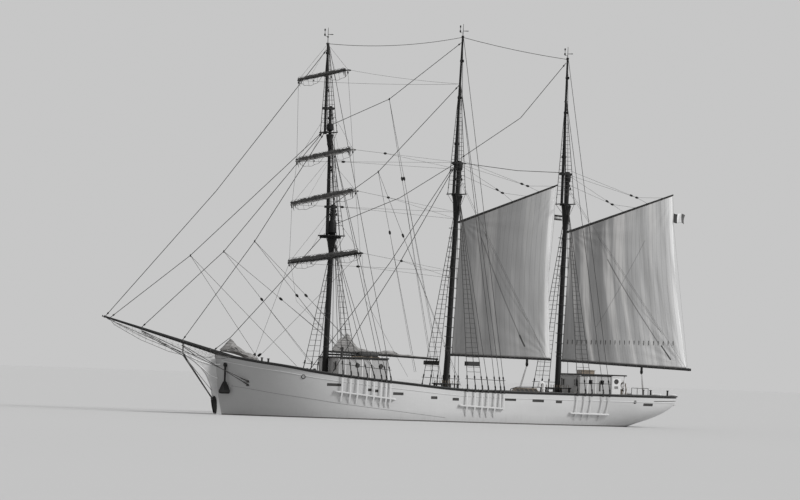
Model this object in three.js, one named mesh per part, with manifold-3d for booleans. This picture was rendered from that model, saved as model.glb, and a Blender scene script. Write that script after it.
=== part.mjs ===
// A three-masted sailing ship with four yards on her foremast, afloat with her sails mostly set.
// Millimetres. +X is forward, +Y is port and +Z is up. The origin is amidships, on the centreline at the
// waterline.
import * as THREE from 'three';
import { mergeVertices } from 'three/addons/utils/BufferGeometryUtils.js';
import Module from 'manifold-3d';

const wasm = await Module();
wasm.setup();

// Driving dimensions
const gap = 0.3;                       // between faces that rest on each other
const stemX = 14600;                   // foremost point of the rail
const taffrailX = -16480;              // aftmost point of the rail
const counterX = -16150;               // aftmost point of the decked hull
const plankThick = 60;
const bulwarkThick = 80;
const bulwarkHigh = { aft: 600, forward: 750, from: 0, to: 8000 };
const railCap = { wide: 240, thick: 80, outboard: 80 };
const keelWide = 240;
const keelDepth = { forward: -2500, aft: -2900 };

// Hull sections, from the stem aft. Each is one curve from the bottom, at the centreline, to the rail.
// x: station; bottom: height at the centreline; bilgeY, bilgeZ: first control point; sideY, sideZ: second
// control point; railY, railZ: half breadth and height of the rail.
const sectionColumns = ['x', 'bottom', 'bilgeY', 'bilgeZ', 'sideY', 'sideZ', 'railY', 'railZ'];
const sections = [
  [14560, 1000, 40, 1500, 60, 2900, 130, 3780],
  [14300, -200, 120, 600, 150, 2300, 560, 3710],
  [13600, -1450, 250, -500, 520, 1300, 1370, 3550],
  [12500, -1980, 450, -1500, 1300, 600, 2150, 3360],
  [11000, -2120, 850, -2000, 2150, -100, 2800, 3160],
  [9000, -2180, 1600, -2150, 3000, -500, 3240, 2860],
  [6000, -2230, 2500, -2220, 3500, -800, 3480, 2560],
  [3000, -2280, 2900, -2260, 3700, -900, 3550, 2320],
  [0, -2330, 2950, -2300, 3720, -900, 3560, 2100],
  [-3000, -2380, 2800, -2300, 3650, -850, 3540, 2035],
  [-6000, -2430, 2100, -2150, 3550, -700, 3450, 2040],
  [-8500, -2480, 1000, -1800, 3200, -500, 3280, 2045],
  [-10500, -1500, 500, -1000, 2700, -150, 3020, 2048],
  [-12000, -520, 1000, -350, 2500, 250, 2740, 2050],
  [-13150, 45, 1300, 120, 2350, 500, 2480, 2051],
  [-14500, 500, 1250, 560, 1980, 850, 2080, 2052],
  [-15500, 900, 900, 980, 1450, 1200, 1580, 2054],
  [-16150, 1330, 500, 1360, 850, 1460, 1000, 2055],
  [-16480, 1640, 100, 1680, 180, 1740, 230, 2056],
];

// Spars that stand on the centreline: x and z of the foot and of the head, and the two radii.
const spars = {
  foreLower: { foot: [7450, 1900], head: [7262, 13100], radii: [190, 150] },
  foreTop: { foot: [7600, 11200 + gap], head: [7680, 19150], radii: [105, 88] },
  foreTopgallant: { foot: [7990, 17500 + gap], head: [8010, 24600], radii: [75, 22] },
  mainLower: { foot: [-605, 1300], head: [-1052, 16250], radii: [180, 140] },
  mainTop: { foot: [-715, 14150 + gap], head: [-1010, 24820], radii: [88, 22] },
  mizzenLower: { foot: [-8240, 1250], head: [-8509, 15960], radii: [175, 135] },
  mizzenTop: { foot: [-8150, 13900 + gap], head: [-8235, 23870], radii: [88, 22] },
};
const bowsprit = { heel: [12400, 3197], tip: [21810, 5700], radii: [160, 55], heelHalf: 170 };

const colours = {
  hull: 0xd9d9d6, wood: 0x8c7a62, dark: 0x2b2b2c, deck: 0xa89878, canvas: 0xb9b6ae, house: 0x3a3a3b,
  steel: 0x77797b, bronze: 0x8a6f3c, bottom: 0x4a3431, white: 0xe6e6e2,
};

const ship = new THREE.Group();

const finish = (colour, roughness = 0.6, metalness = 0) =>
  new THREE.MeshStandardMaterial({ color: colour, roughness, metalness });

const shapes = {};                     // the finished forms of the pieces that others are seated on
function piece(name, geometry, material, parent = ship) {
  const mesh = new THREE.Mesh(geometry, material);
  mesh.name = name;
  parent.add(mesh);
  shapes[name] = geometry;
}

// Solids and how they join
function toSolid(geometry) {
  const bare = geometry.index ? geometry.toNonIndexed() : geometry.clone();
  for (const name of Object.keys(bare.attributes)) {
    if (name !== 'position') bare.deleteAttribute(name);
  }
  const merged = mergeVertices(bare, 1e-3);
  return new wasm.Manifold(new wasm.Mesh({
    numProp: 3,
    vertProperties: new Float32Array(merged.attributes.position.array),
    triVerts: new Uint32Array(merged.index.array),
  }));
}

function toGeometry(solid) {
  const mesh = solid.getMesh();
  const geometry = new THREE.BufferGeometry();
  geometry.setAttribute('position', new THREE.BufferAttribute(new Float32Array(mesh.vertProperties), 3));
  geometry.setIndex(new THREE.BufferAttribute(new Uint32Array(mesh.triVerts), 1));
  return geometry;
}

const join = (...geometries) =>
  toGeometry(geometries.map(toSolid).reduce((whole, part) => whole.add(part)));

const cut = (geometry, ...tools) =>
  toGeometry(tools.map(toSolid).reduce((rest, tool) => rest.subtract(tool), toSolid(geometry)));

// The piece without the room that its neighbour takes, kept off it by the gap in the directions given.
const up = [0, 0, 1];
const down = [0, 0, -1];
const ahead = [1, 0, 0];
const here = [0, 0, 0];
function clearOf(geometry, neighbour, ...directions) {
  return cut(geometry, ...directions.map((d) => neighbour.clone().translate(...d.map((v) => v * gap))));
}

// Plain forms
function box(x0, x1, y0, y1, z0, z1) {
  return new THREE.BoxGeometry(x1 - x0, y1 - y0, z1 - z0)
    .translate((x0 + x1) / 2, (y0 + y1) / 2, (z0 + z1) / 2);
}

function rod(from, to, radiusFrom, radiusTo = radiusFrom, sides = 16) {
  const a = new THREE.Vector3(...from);
  const b = new THREE.Vector3(...to);
  const along = b.clone().sub(a);
  const turn = new THREE.Quaternion().setFromUnitVectors(
    new THREE.Vector3(0, 0, 1), along.clone().normalize());
  return new THREE.CylinderGeometry(radiusTo, radiusFrom, along.length(), sides)
    .rotateX(Math.PI / 2).applyQuaternion(turn).translate(...a.lerp(b, 0.5));
}

// A flat outline in the x, z plane, thick across the ship and centred on the plane y = middle.
function sidePlate(points, thick, middle = 0) {
  const shape = new THREE.Shape(points.map(([x, z]) => new THREE.Vector2(x, z)));
  return new THREE.ExtrudeGeometry(shape, { depth: thick, bevelEnabled: false })
    .rotateX(Math.PI / 2).translate(0, middle + thick / 2, 0);
}

// Triangles that fill a flat ring, turning the way its points run.
function lid(ring) {
  const normal = new THREE.Vector3();
  ring.forEach((p, n) => {
    const q = ring[(n + 1) % ring.length];
    normal.add(new THREE.Vector3(
      (p[1] - q[1]) * (p[2] + q[2]), (p[2] - q[2]) * (p[0] + q[0]), (p[0] - q[0]) * (p[1] + q[1])));
  });
  const sizes = normal.toArray().map(Math.abs);
  const [u, v] = [[1, 2], [2, 0], [0, 1]][sizes.indexOf(Math.max(...sizes))];
  const flat = ring.map((p) => new THREE.Vector2(p[u], p[v]));
  const runs = Math.sign(THREE.ShapeUtils.area(flat));
  return THREE.ShapeUtils.triangulateShape(flat, []).map(([p, q, r]) => {
    const turns = Math.sign(THREE.ShapeUtils.area([flat[p], flat[q], flat[r]]));
    return turns === runs ? [p, q, r] : [p, r, q];
  });
}

// A closed body through rings that all have the same number of points; open ends get flat lids.
function loft(rings, closed = false) {
  const around = rings[0].length;
  const corners = rings.flat();
  const faces = [];
  const last = closed ? rings.length : rings.length - 1;
  for (let i = 0; i < last; i += 1) {
    const a = i * around;
    const b = ((i + 1) % rings.length) * around;
    for (let j = 0; j < around; j += 1) {
      const k = (j + 1) % around;
      faces.push(a + j, b + j, b + k, a + j, b + k, a + k);
    }
  }
  if (!closed) {
    const end = (rings.length - 1) * around;
    for (const [p, q, r] of lid(rings[0])) faces.push(p, q, r);
    for (const [p, q, r] of lid(rings.at(-1))) faces.push(end + p, end + r, end + q);
  }
  const geometry = new THREE.BufferGeometry();
  geometry.setAttribute('position', new THREE.Float32BufferAttribute(corners.flat(), 3));
  geometry.setIndex(faces);
  return outward(geometry);
}

// The same body with its faces pointing out.
function outward(geometry) {
  const at = geometry.attributes.position;
  const index = geometry.index.array;
  let volume = 0;
  const p = [new THREE.Vector3(), new THREE.Vector3(), new THREE.Vector3()];
  for (let i = 0; i < index.length; i += 3) {
    p.forEach((v, k) => v.fromBufferAttribute(at, index[i + k]));
    volume += p[0].dot(p[1].cross(p[2]));
  }
  if (volume < 0) {
    for (let i = 0; i < index.length; i += 3) [index[i], index[i + 1]] = [index[i + 1], index[i]];
  }
  return geometry;
}

// The hull's surface
function column(name, x) {
  const key = sectionColumns.indexOf(name);
  const rows = sections;
  let i = rows.findIndex((row, n) => n > 0 && x >= row[0]);
  if (i < 0) i = rows.length - 1;
  const [a, b] = [rows[i - 1], rows[i]];
  const slope = (n) => {
    const low = rows[Math.max(n - 1, 0)];
    const high = rows[Math.min(n + 1, rows.length - 1)];
    return (high[key] - low[key]) / (high[0] - low[0]);
  };
  const span = b[0] - a[0];
  const t = THREE.MathUtils.clamp((x - a[0]) / span, 0, 1);
  const [h00, h10, h01, h11] = [2 * t ** 3 - 3 * t ** 2 + 1, t ** 3 - 2 * t ** 2 + t,
    -2 * t ** 3 + 3 * t ** 2, t ** 3 - t ** 2];
  return h00 * a[key] + h10 * span * slope(i - 1) + h01 * b[key] + h11 * span * slope(i);
}

const railZ = (x) => column('railZ', x);
const bulwarkAt = (x) => bulwarkHigh.aft + (bulwarkHigh.forward - bulwarkHigh.aft)
  * THREE.MathUtils.smoothstep(x, bulwarkHigh.from, bulwarkHigh.to);
const deckZ = (x) => railZ(x) - bulwarkAt(x);

function sectionCurve(x) {
  const c = (name) => column(name, x);
  return new THREE.CubicBezierCurve(
    new THREE.Vector2(0, c('bottom')), new THREE.Vector2(c('bilgeY'), c('bilgeZ')),
    new THREE.Vector2(c('sideY'), c('sideZ')), new THREE.Vector2(c('railY'), c('railZ')));
}

// How far along the section its curve reaches the height z.
function reach(curve, z) {
  let [low, high] = [0, 1];
  for (let n = 0; n < 30; n += 1) {
    const middle = (low + high) / 2;
    if (curve.getPoint(middle).y < z) low = middle; else high = middle;
  }
  return (low + high) / 2;
}

function halfBreadth(x, z) {
  const curve = sectionCurve(x);
  return curve.getPoint(reach(curve, z)).x;
}

const hullTopZ = (x) => deckZ(x) - plankThick;

function hullRing(x, steps) {
  const curve = sectionCurve(x);
  const end = reach(curve, hullTopZ(x));
  const side = [];
  for (let n = 1; n <= steps; n += 1) side.push(curve.getPoint((end * n) / steps));
  const bottom = [x, 0, column('bottom', x)];
  return [bottom, ...side.map((p) => [x, p.x, p.y]), ...side.reverse().map((p) => [x, -p.x, p.y])];
}

// Where the stations stand: close together at both ends.
function stations(from, to, count) {
  return Array.from({ length: count + 1 }, (_, n) =>
    THREE.MathUtils.lerp(from, to, (1 - Math.cos((Math.PI * n) / count)) / 2));
}

const hullSteps = 28;
const hullStations = stations(14540, counterX, hullSteps);
const hullForm = loft(hullStations.map((x) => hullRing(x, 8)));

// Channels that spread the shrouds. x0, x1: ends; z0, z1: heights of the ends.
const channels = [
  { x0: 8074, x1: 4112, z0: 1665, z1: 1288 },
  { x0: -12, x1: -3066, z0: 1050, z1: 930 },
  { x0: -7656, x1: -10712, z0: 779, z1: 756 },
];
const channel = { inboard: 60, outboard: 130, high: 90 };

function channelForm({ x0, x1, z0, z1 }, side) {
  return loft(stations(x0, x1, 4).map((x) => {
    const z = THREE.MathUtils.mapLinear(x, x0, x1, z0, z1);
    const y = halfBreadth(x, z);
    const [inner, outer] = [side * (y - channel.inboard), side * (y + channel.outboard)];
    const [low, high] = [z - channel.high / 2, z + channel.high / 2];
    return [[x, inner, low], [x, outer, low], [x, outer, high], [x, inner, high]];
  }));
}

const hullShape = join(hullForm, ...channels.flatMap((row) => [channelForm(row, 1), channelForm(row, -1)]));
piece('hull', hullShape, finish(colours.hull, 0.45));

// Bulwarks and rail: a band around the ship between two outlines. Each outline has a point at the stem, one
// for each station and a point at the stern, to port and then back to starboard.
function outlineAt(places, height, foremost, aftmost) {
  const port = places.map((x) => [x, halfBreadth(x, height(x))]);
  const starboard = port.map(([x, y]) => [x, -y]).reverse();
  return [[foremost, 0], ...port, [aftmost, 0], ...starboard];
}

function inwardOffset(outline, distance) {
  return outline.map((p, n) => {
    const before = outline.at(n - 1);
    const after = outline[(n + 1) % outline.length];
    const run = new THREE.Vector2(after[0] - before[0], after[1] - before[1]).normalize();
    return [p[0] - run.y * distance, p[1] + run.x * distance];
  });
}

// Height along straight lines between the stations.
function facetHeight(places, height) {
  return (at) => {
    const x = THREE.MathUtils.clamp(at, places.at(-1), places[0]);
    const n = Math.max(places.findIndex((place) => place <= x), 1);
    return THREE.MathUtils.mapLinear(x, places[n - 1], places[n], height(places[n - 1]), height(places[n]));
  };
}

// top and foot: { line, height, rise }; outer and inner: how far in from the line each face stands.
function band(top, foot, outer, inner) {
  const edge = ({ line, height, rise }, by) =>
    inwardOffset(line, by).map(([x, y]) => [x, y, height(x) + rise]);
  const [a, b, c, d] = [edge(top, outer), edge(foot, outer), edge(foot, inner), edge(top, inner)];
  return loft(a.map((_, n) => [a[n], b[n], c[n], d[n]]), true);
}

const seat = 0.8;                      // between curved faces that follow each other
const railStations = stations(stemX, taffrailX, hullSteps + 2).slice(1, -1);
const railLine = outlineAt(railStations, railZ, stemX, taffrailX);
const railHeight = facetHeight(railStations, railZ);
const hullEdge = outlineAt(hullStations, hullTopZ, 14552, counterX - 20);
const hullEdgeHeight = facetHeight(hullStations, hullTopZ);
const rail = (rise) => ({ line: railLine, height: railHeight, rise });

const spritZ = (x) => THREE.MathUtils.mapLinear(
  x, bowsprit.heel[0], bowsprit.tip[0], bowsprit.heel[1], bowsprit.tip[1]);
const spritRoom = rod([12000, 0, spritZ(12000)], [16000, 0, spritZ(16000)], 190, 170);

// Freeing ports along the foot of the bulwarks. x: middle; long: their length.
const freeingPorts = [
  { x: 8170, long: 880 }, { x: 5860, long: 300 }, { x: 5410, long: 300 }, { x: 3960, long: 680 },
  { x: 1600, long: 400 }, { x: 140, long: 380 }, { x: -3490, long: 800 }, { x: -5410, long: 770 },
  { x: -6860, long: 420 }, { x: -13500, long: 740 },
];
const portHigh = 150;
function portHoles() {
  return freeingPorts.map(({ x, long }) => {
    const low = deckZ(x) + 20;
    return box(x - long / 2, x + long / 2, -4200, 4200, low, low + portHigh);
  });
}
const capForm = band(rail(0), rail(-railCap.thick), -railCap.outboard, railCap.wide - railCap.outboard);
const plainBand = band(rail(-railCap.thick - seat),
  { line: hullEdge, height: hullEdgeHeight, rise: seat }, 0, bulwarkThick);
const bulwarkBand = clearOf(clearOf(plainBand, hullForm, up), capForm, down);
piece('bulwarks', cut(bulwarkBand, spritRoom, ...portHoles()), finish(colours.hull, 0.45));
piece('rail_cap', cut(capForm, spritRoom), finish(colours.dark, 0.5));

// Backbone: head knee, stem, keel, sternpost and the sole under the rudder, as one plate.
const sole = { aft: -12500, top: -2750 };
const sternpostX = -11250;
function backbone() {
  const outline = [
    [16570, 3620], [16480, 3500], [15600, 2960], [15123, 2398], [14810, 1759], [14640, 1008], [14400, -213],
    [13900, -1200], [13200, -1900], [12200, -2350], [11000, keelDepth.forward], [-11000, keelDepth.aft],
    [sole.aft, keelDepth.aft],
    [sole.aft, sole.top], [sternpostX, sole.top], [sternpostX, -850], [-10500, -1300], [-8500, -2300],
    [-6000, -2300], [0, -2200], [9000, -2050], [11000, -2000], [12400, -1800], [13400, -1300],
    [14050, -100], [14350, 1200], [14420, 2880], [14560, 2990], [14565, 3340],
  ];
  const plate = clearOf(sidePlate(outline, keelWide), hullForm, here, down, ahead, up);
  return clearOf(plate, bulwarkBand, ahead, down);
}
piece('keel_and_stem', backbone(), finish(colours.white, 0.5));

// Deck planking between the bulwarks, and the same form made deep, which trims the feet of what stands on it.
function deckForm(rise, depth) {
  const inside = hullStations.filter((x) => x < 13800 && x > -15700);
  return loft(inside.map((x) => {
    const taper = (halfBreadth(x + 50, deckZ(x)) - halfBreadth(x - 50, deckZ(x))) / 100;
    const y = halfBreadth(x, hullTopZ(x)) - (bulwarkThick + 12) * Math.hypot(1, taper);
    const top = deckZ(x) + rise;
    return [[x, y, top - depth], [x, -y, top - depth], [x, -y, top], [x, y, top]];
  }));
}
const deckTrim = deckForm(gap, 1800);
const onDeck = (geometry) => cut(geometry, deckTrim);
piece('deck_planking', deckForm(0, plankThick - gap), finish(colours.deck, 0.8));

// Bowsprit, with the short striker that spreads the bobstay.
const strikerX = 16650;
piece('bowsprit', join(
  rod([bowsprit.heel[0], 0, bowsprit.heel[1]], [bowsprit.tip[0], 0, bowsprit.tip[1]], ...bowsprit.radii),
  rod([strikerX, 0, spritZ(strikerX)], [strikerX, 0, 3700], 45, 35, 8),
  box(12330, 12530, -420, 420, bowsprit.heel[1] - bowsprit.heelHalf, bowsprit.heel[1] + bowsprit.heelHalf),
), finish(colours.wood, 0.6));

// Bitts that hold the heel of the bowsprit.
piece('bowsprit_bitts', onDeck(cut(join(
  box(12340, 12520, -640, -425 - gap, 2200, 3450),
  box(12340, 12520, 425 + gap, 640, 2200, 3450),
  box(12340, 12520, -600, 600, 2200, bowsprit.heel[1] - bowsprit.heelHalf - gap),
))), finish(colours.dark, 0.6));

// Masts
const sparRod = ({ foot, head, radii }, sides = 20) =>
  rod([foot[0], 0, foot[1]], [head[0], 0, head[1]], ...radii, sides);
const sparX = ({ foot, head }, z) => THREE.MathUtils.mapLinear(z, foot[1], head[1], foot[0], head[0]);
const sparRadius = ({ foot, head, radii }, z) => THREE.MathUtils.mapLinear(z, foot[1], head[1], ...radii);
const sparRoom = ({ foot, head, radii }) => rod([foot[0], 0, foot[1] - gap], [head[0], 0, head[1]],
  ...radii.map((r) => r + 2 * gap), 20);

// The x at which a spar that runs aft from the height z to its end meets the after face of its mast.
function abaft(mast, z, end, radius) {
  const { foot, head, radii } = mast;
  const face = sparX(mast, z) - sparRadius(mast, z);
  const long = Math.hypot(end[0] - face, end[1] - z);
  const lean = (head[0] - radii[1] - foot[0] + radii[0]) / (head[1] - foot[1]);
  return face - gap - radius * Math.abs((end[1] - z) / long + (lean * (end[0] - face)) / long);
}

// The cap on a lower mast, with the hole that steadies the mast above it.
function cappedMast(lower, upper, capZ) {
  const [x0, x1] = [sparX(lower, capZ) - 190, sparX(upper, capZ) + 170];
  return cut(join(sparRod(lower), box(x0, x1, -190, 190, capZ - 70, capZ + 70)), sparRoom(upper));
}
const masts = finish(colours.dark, 0.5);
piece('foremast_lower', onDeck(cappedMast(spars.foreLower, spars.foreTop, 12950)), masts);
piece('mainmast_lower', onDeck(cappedMast(spars.mainLower, spars.mainTop, 16100)), masts);
piece('mizzenmast_lower', onDeck(cappedMast(spars.mizzenLower, spars.mizzenTop, 15810)), masts);
piece('fore_topmast', cappedMast(spars.foreTop, spars.foreTopgallant, 19000), masts);
piece('fore_topgallant_mast', sparRod(spars.foreTopgallant), masts);
piece('main_topmast', sparRod(spars.mainTop), masts);
piece('mizzen_topmast', sparRod(spars.mizzenTop), masts);

// Trestletrees and crosstrees where a mast is doubled. reach: half length across the ship.
function crosstrees(lower, upper, z, reachY, fore, aft) {
  const x = sparX(lower, z);
  const rails = [-1, 1].map((side) => box(x - aft, x + fore, side * 200 - 45, side * 200 + 45, z - 60, z));
  const arms = [x - aft + 60, x + fore - 60].map((at) => box(at - 40, at + 40, -reachY, reachY, z - 60, z));
  const middle = box(x - aft + 60, x + fore - 60, -230, 230, z - 60, z);
  const heelX = upper.foot[0];
  const heel = box(heelX - 90, heelX + 90, -100, 100, z - 140, upper.foot[1] - gap);
  return cut(join(...rails, ...arms, middle, heel), sparRoom(lower), sparRoom(upper));
}
piece('fore_crosstrees', crosstrees(spars.foreTop, spars.foreTopgallant, 17550, 650, 480, 300), masts);
piece('main_crosstrees', crosstrees(spars.mainLower, spars.mainTop, 14200, 700, 480, 350), masts);
piece('mizzen_crosstrees', crosstrees(spars.mizzenLower, spars.mizzenTop, 13950, 700, 480, 350), masts);

// The fore top: a platform with a round front.
function foreTop() {
  const z = 11200;
  const x = sparX(spars.foreLower, z);
  const rim = new THREE.Shape();
  rim.moveTo(x - 550, -850);
  rim.lineTo(x + 150, -850);
  rim.absellipse(x + 150, 0, 700, 850, -Math.PI / 2, Math.PI / 2);
  rim.lineTo(x - 550, 850);
  rim.closePath();
  const platform = new THREE.ExtrudeGeometry(rim, { depth: 60, bevelEnabled: false, curveSegments: 8 })
    .translate(0, 0, z - 60);
  const rails = [-1, 1].map((side) =>
    box(x - 500, x + 700, side * 230 - 50, side * 230 + 50, z - 180, z - 30));
  const heelX = sparX(spars.foreTop, z);
  const heel = box(heelX - 100, heelX + 100, -280, 280, z - 180, z);
  return cut(join(platform, ...rails, heel), sparRoom(spars.foreLower), sparRoom(spars.foreTop));
}
piece('fore_top', foreTop(), masts);

// Yards, square to the keel, each with its furled sail. carrier: the mast that it turns about; z: height;
// long: length; cant: degrees, port end up; yard, sail: radii; truss: from the mast's face to the yard's.
const yards = [
  { name: 'lower', carrier: 'foreLower', z: 9780, long: 12600, cant: 1.8, yard: 105, sail: 75, truss: 180 },
  { name: 'lower_topsail', carrier: 'foreTop', z: 13470, long: 11300, cant: 2.5, yard: 90, sail: 65, truss: 150 },
  { name: 'upper_topsail', carrier: 'foreTop', z: 16080, long: 9950, cant: 1.7, yard: 85, sail: 60, truss: 150 },
  { name: 'topgallant', carrier: 'foreTopgallant', z: 21010, long: 8800, cant: 0.5, yard: 68, sail: 48, truss: 150 },
];

// A spar along Y that is thickest in its middle third and tapers to a share of its radius at both ends.
function spindle(radius, share, half, sides) {
  const profile = [[0, -half], [radius * share, -half], [radius, -half / 3], [radius, half / 3],
    [radius * share, half], [0, half]];
  return new THREE.LatheGeometry(profile.map(([r, y]) => new THREE.Vector2(r, y)), sides);
}

for (const row of yards) {
  const mast = spars[row.carrier];
  const sling = new THREE.Group();
  sling.position.set(sparX(mast, row.z), 0, row.z);
  ship.add(sling);
  const mastSide = sparRadius(mast, row.z) + seat + gap;
  const standOff = mastSide + row.truss + row.yard;
  const cant = THREE.MathUtils.degToRad(row.cant);
  const half = row.long / 2;
  const pole = spindle(row.yard, 0.5, half, 12).rotateX(cant).translate(standOff, 0, 0);
  const spar = join(pole, box(mastSide, standOff, -60, 60, -45, 45));
  piece(`yard_${row.name}`, spar, finish(colours.dark, 0.5), sling);
  const rest = (row.yard + row.sail * 0.95) * Math.SQRT1_2;
  const bundle = spindle(row.sail, 0.6, half * 0.93, 10).rotateX(cant).translate(standOff + rest, 0, rest);
  piece(`furled_${row.name}`, clearOf(bundle, spar, ahead, up), finish(colours.canvas, 0.9), sling);
}

// Booms, gaffs and the sails between them. Points are x, z on the centreline.
// belly: how far the cloth stands to starboard in its middle.
const sailThick = 30;
const gaffRigs = [
  {
    name: 'main', mast: 'mainLower', boomAt: 4150, boomEnd: [-7780, 4080], boomRadii: [75, 65],
    gaffAt: 12420, gaffEnd: [-7816, 15097], gaffRadii: [75, 45],
    sail: { tack: -960, clew: -7700, throat: -1330, peak: -7690, belly: 260 },
  },
  {
    name: 'mizzen', mast: 'mizzenLower', boomAt: 4050, boomEnd: [-17603, 3760], boomRadii: [75, 85],
    gaffAt: 12160, gaffEnd: [-15962, 14891], gaffRadii: [75, 45],
    sail: { tack: -8520, clew: -17300, throat: -8830, peak: -15900, belly: 320 },
  },
];

function sailForm(foot, head, rig, belly) {
  const [across, levels] = [8, 8];
  const face = (y0) => (s, t) => {
    const low = foot(THREE.MathUtils.lerp(rig.tack, rig.clew, s));
    const high = head(THREE.MathUtils.lerp(rig.throat, rig.peak, s));
    const hollow = s * 0.025 * (low[0] - high[0]) * Math.sin(Math.PI * t) + s * 260 * Math.sin(Math.PI * t);
    const y = -belly * Math.sin(Math.PI * Math.min(s * 1.05, 1)) ** 0.8 * Math.sin(Math.PI * t) ** 0.8;
    const x = THREE.MathUtils.lerp(low[0], high[0], t) + hollow;
    return [x, y + y0, THREE.MathUtils.lerp(low[1], high[1], t)];
  };
  const [port, starboard] = [face(sailThick / 2), face(-sailThick / 2)];
  const rings = Array.from({ length: levels + 1 }, (_, n) => {
    const t = n / levels;
    const steps = Array.from({ length: across + 1 }, (__, m) => m / across);
    return [...steps.map((s) => port(s, t)), ...steps.reverse().map((s) => starboard(s, t))];
  });
  return loftStrip(rings);
}

// A loft whose lids are strips between the two long sides of the first and last ring.
function loftStrip(rings) {
  const around = rings[0].length;
  const faces = [];
  for (let i = 0; i < rings.length - 1; i += 1) {
    const [a, b] = [i * around, (i + 1) * around];
    for (let j = 0; j < around; j += 1) {
      const k = (j + 1) % around;
      faces.push(a + j, b + j, b + k, a + j, b + k, a + k);
    }
  }
  for (const [start, flip] of [[0, false], [(rings.length - 1) * around, true]]) {
    for (let j = 0; j < around / 2 - 1; j += 1) {
      const quad = [start + j, start + j + 1, start + around - 2 - j, start + around - 1 - j];
      const order = flip ? [0, 2, 1, 0, 3, 2] : [0, 1, 2, 0, 2, 3];
      faces.push(...order.map((n) => quad[n]));
    }
  }
  const geometry = new THREE.BufferGeometry();
  geometry.setAttribute('position', new THREE.Float32BufferAttribute(rings.flat(2), 3));
  geometry.setIndex(faces);
  return outward(geometry);
}

for (const rig of gaffRigs) {
  const mast = spars[rig.mast];
  const boomStart = [abaft(mast, rig.boomAt, rig.boomEnd, rig.boomRadii[0]), rig.boomAt];
  const gaffStart = [abaft(mast, rig.gaffAt, rig.gaffEnd, rig.gaffRadii[0]), rig.gaffAt];
  piece(`${rig.name}_boom`, rod([boomStart[0], 0, boomStart[1]], [rig.boomEnd[0], 0, rig.boomEnd[1]],
    ...rig.boomRadii, 12), finish(colours.dark, 0.5));
  piece(`${rig.name}_gaff`, rod([gaffStart[0], 0, gaffStart[1]], [rig.gaffEnd[0], 0, rig.gaffEnd[1]],
    ...rig.gaffRadii, 12), finish(colours.dark, 0.5));
  const along = (x, a, b) => THREE.MathUtils.mapLinear(x, a[0], b[0], a[1], b[1]);
  const slope = Math.cos(Math.atan2(rig.gaffEnd[1] - gaffStart[1], rig.gaffEnd[0] - gaffStart[0]));
  const foot = (x) => [x, along(x, boomStart, rig.boomEnd)
    + THREE.MathUtils.mapLinear(x, boomStart[0], rig.boomEnd[0], ...rig.boomRadii) * 0.94];
  const head = (x) => [x, along(x, gaffStart, rig.gaffEnd)
    - THREE.MathUtils.mapLinear(x, gaffStart[0], rig.gaffEnd[0], ...rig.gaffRadii) * 0.94 / Math.abs(slope)];
  const cloth = sailForm(foot, head, rig.sail, rig.sail.belly);
  const footed = clearOf(cloth, shapes[`${rig.name}_boom`], up);
  piece(`${rig.name}_sail`, clearOf(footed, shapes[`${rig.name}_gaff`], down), finish(colours.canvas, 0.9));
}

// The boomed staysail, lowered on its boom abaft the foremast.
const stayBoom = { to: [-60, 3836], radii: [60, 55] };
stayBoom.from = [abaft(spars.foreLower, 4070, stayBoom.to, stayBoom.radii[0]), 4070];
const stayBoomZ = (x) => THREE.MathUtils.mapLinear(
  x, stayBoom.from[0], stayBoom.to[0], stayBoom.from[1], stayBoom.to[1]);
piece('staysail_boom', rod([stayBoom.from[0], 0, stayBoom.from[1]], [stayBoom.to[0], 0, stayBoom.to[1]],
  ...stayBoom.radii, 12), finish(colours.dark, 0.5));
function staysailHeap() {
  const rows = [
    // x, half width, height above the boom
    [6950, 60, 250], [6500, 100, 760], [6100, 130, 1130], [5800, 130, 860], [5400, 120, 330],
    [4400, 105, 190], [3000, 100, 170], [1700, 110, 200], [600, 120, 230], [150, 60, 120],
  ];
  return loft(rows.map(([x, half, high]) => {
    const low = stayBoomZ(x) + stayBoom.radii[1] * 0.8;
    return [[x, -half * 0.6, low], [x, half * 0.6, low], [x, half, low + high * 0.3],
      [x, half * 0.5, low + high * 0.85], [x, 0, low + high], [x, -half * 0.5, low + high * 0.85],
      [x, -half, low + high * 0.3]];
  }));
}
piece('staysail_lowered', clearOf(staysailHeap(), shapes.staysail_boom, up), finish(colours.canvas, 0.9));

// The headsail lowered onto the bow, draped over the rail.
function headsailHeap() {
  const rows = [
    // x, half width, foot, height
    [14250, 120, 3800, 3950], [13950, 330, 3720, 4300], [13640, 380, 3640, 4690], [13300, 420, 3560, 4350],
    [12900, 420, 3530, 4050], [12750, 300, 3520, 3850],
  ];
  const heap = loft(rows.map(([x, half, low, high]) => {
    const middle = (low + high) / 2;
    return [[x, -half, low], [x, half, low], [x, half * 0.8, middle], [x, half * 0.2, high],
      [x, -half * 0.2, high], [x, -half * 0.8, middle]];
  }));
  return clearOf(heap, shapes.bowsprit, up);
}
piece('headsail_lowered', headsailHeap(), finish(colours.canvas, 0.9));

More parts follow.
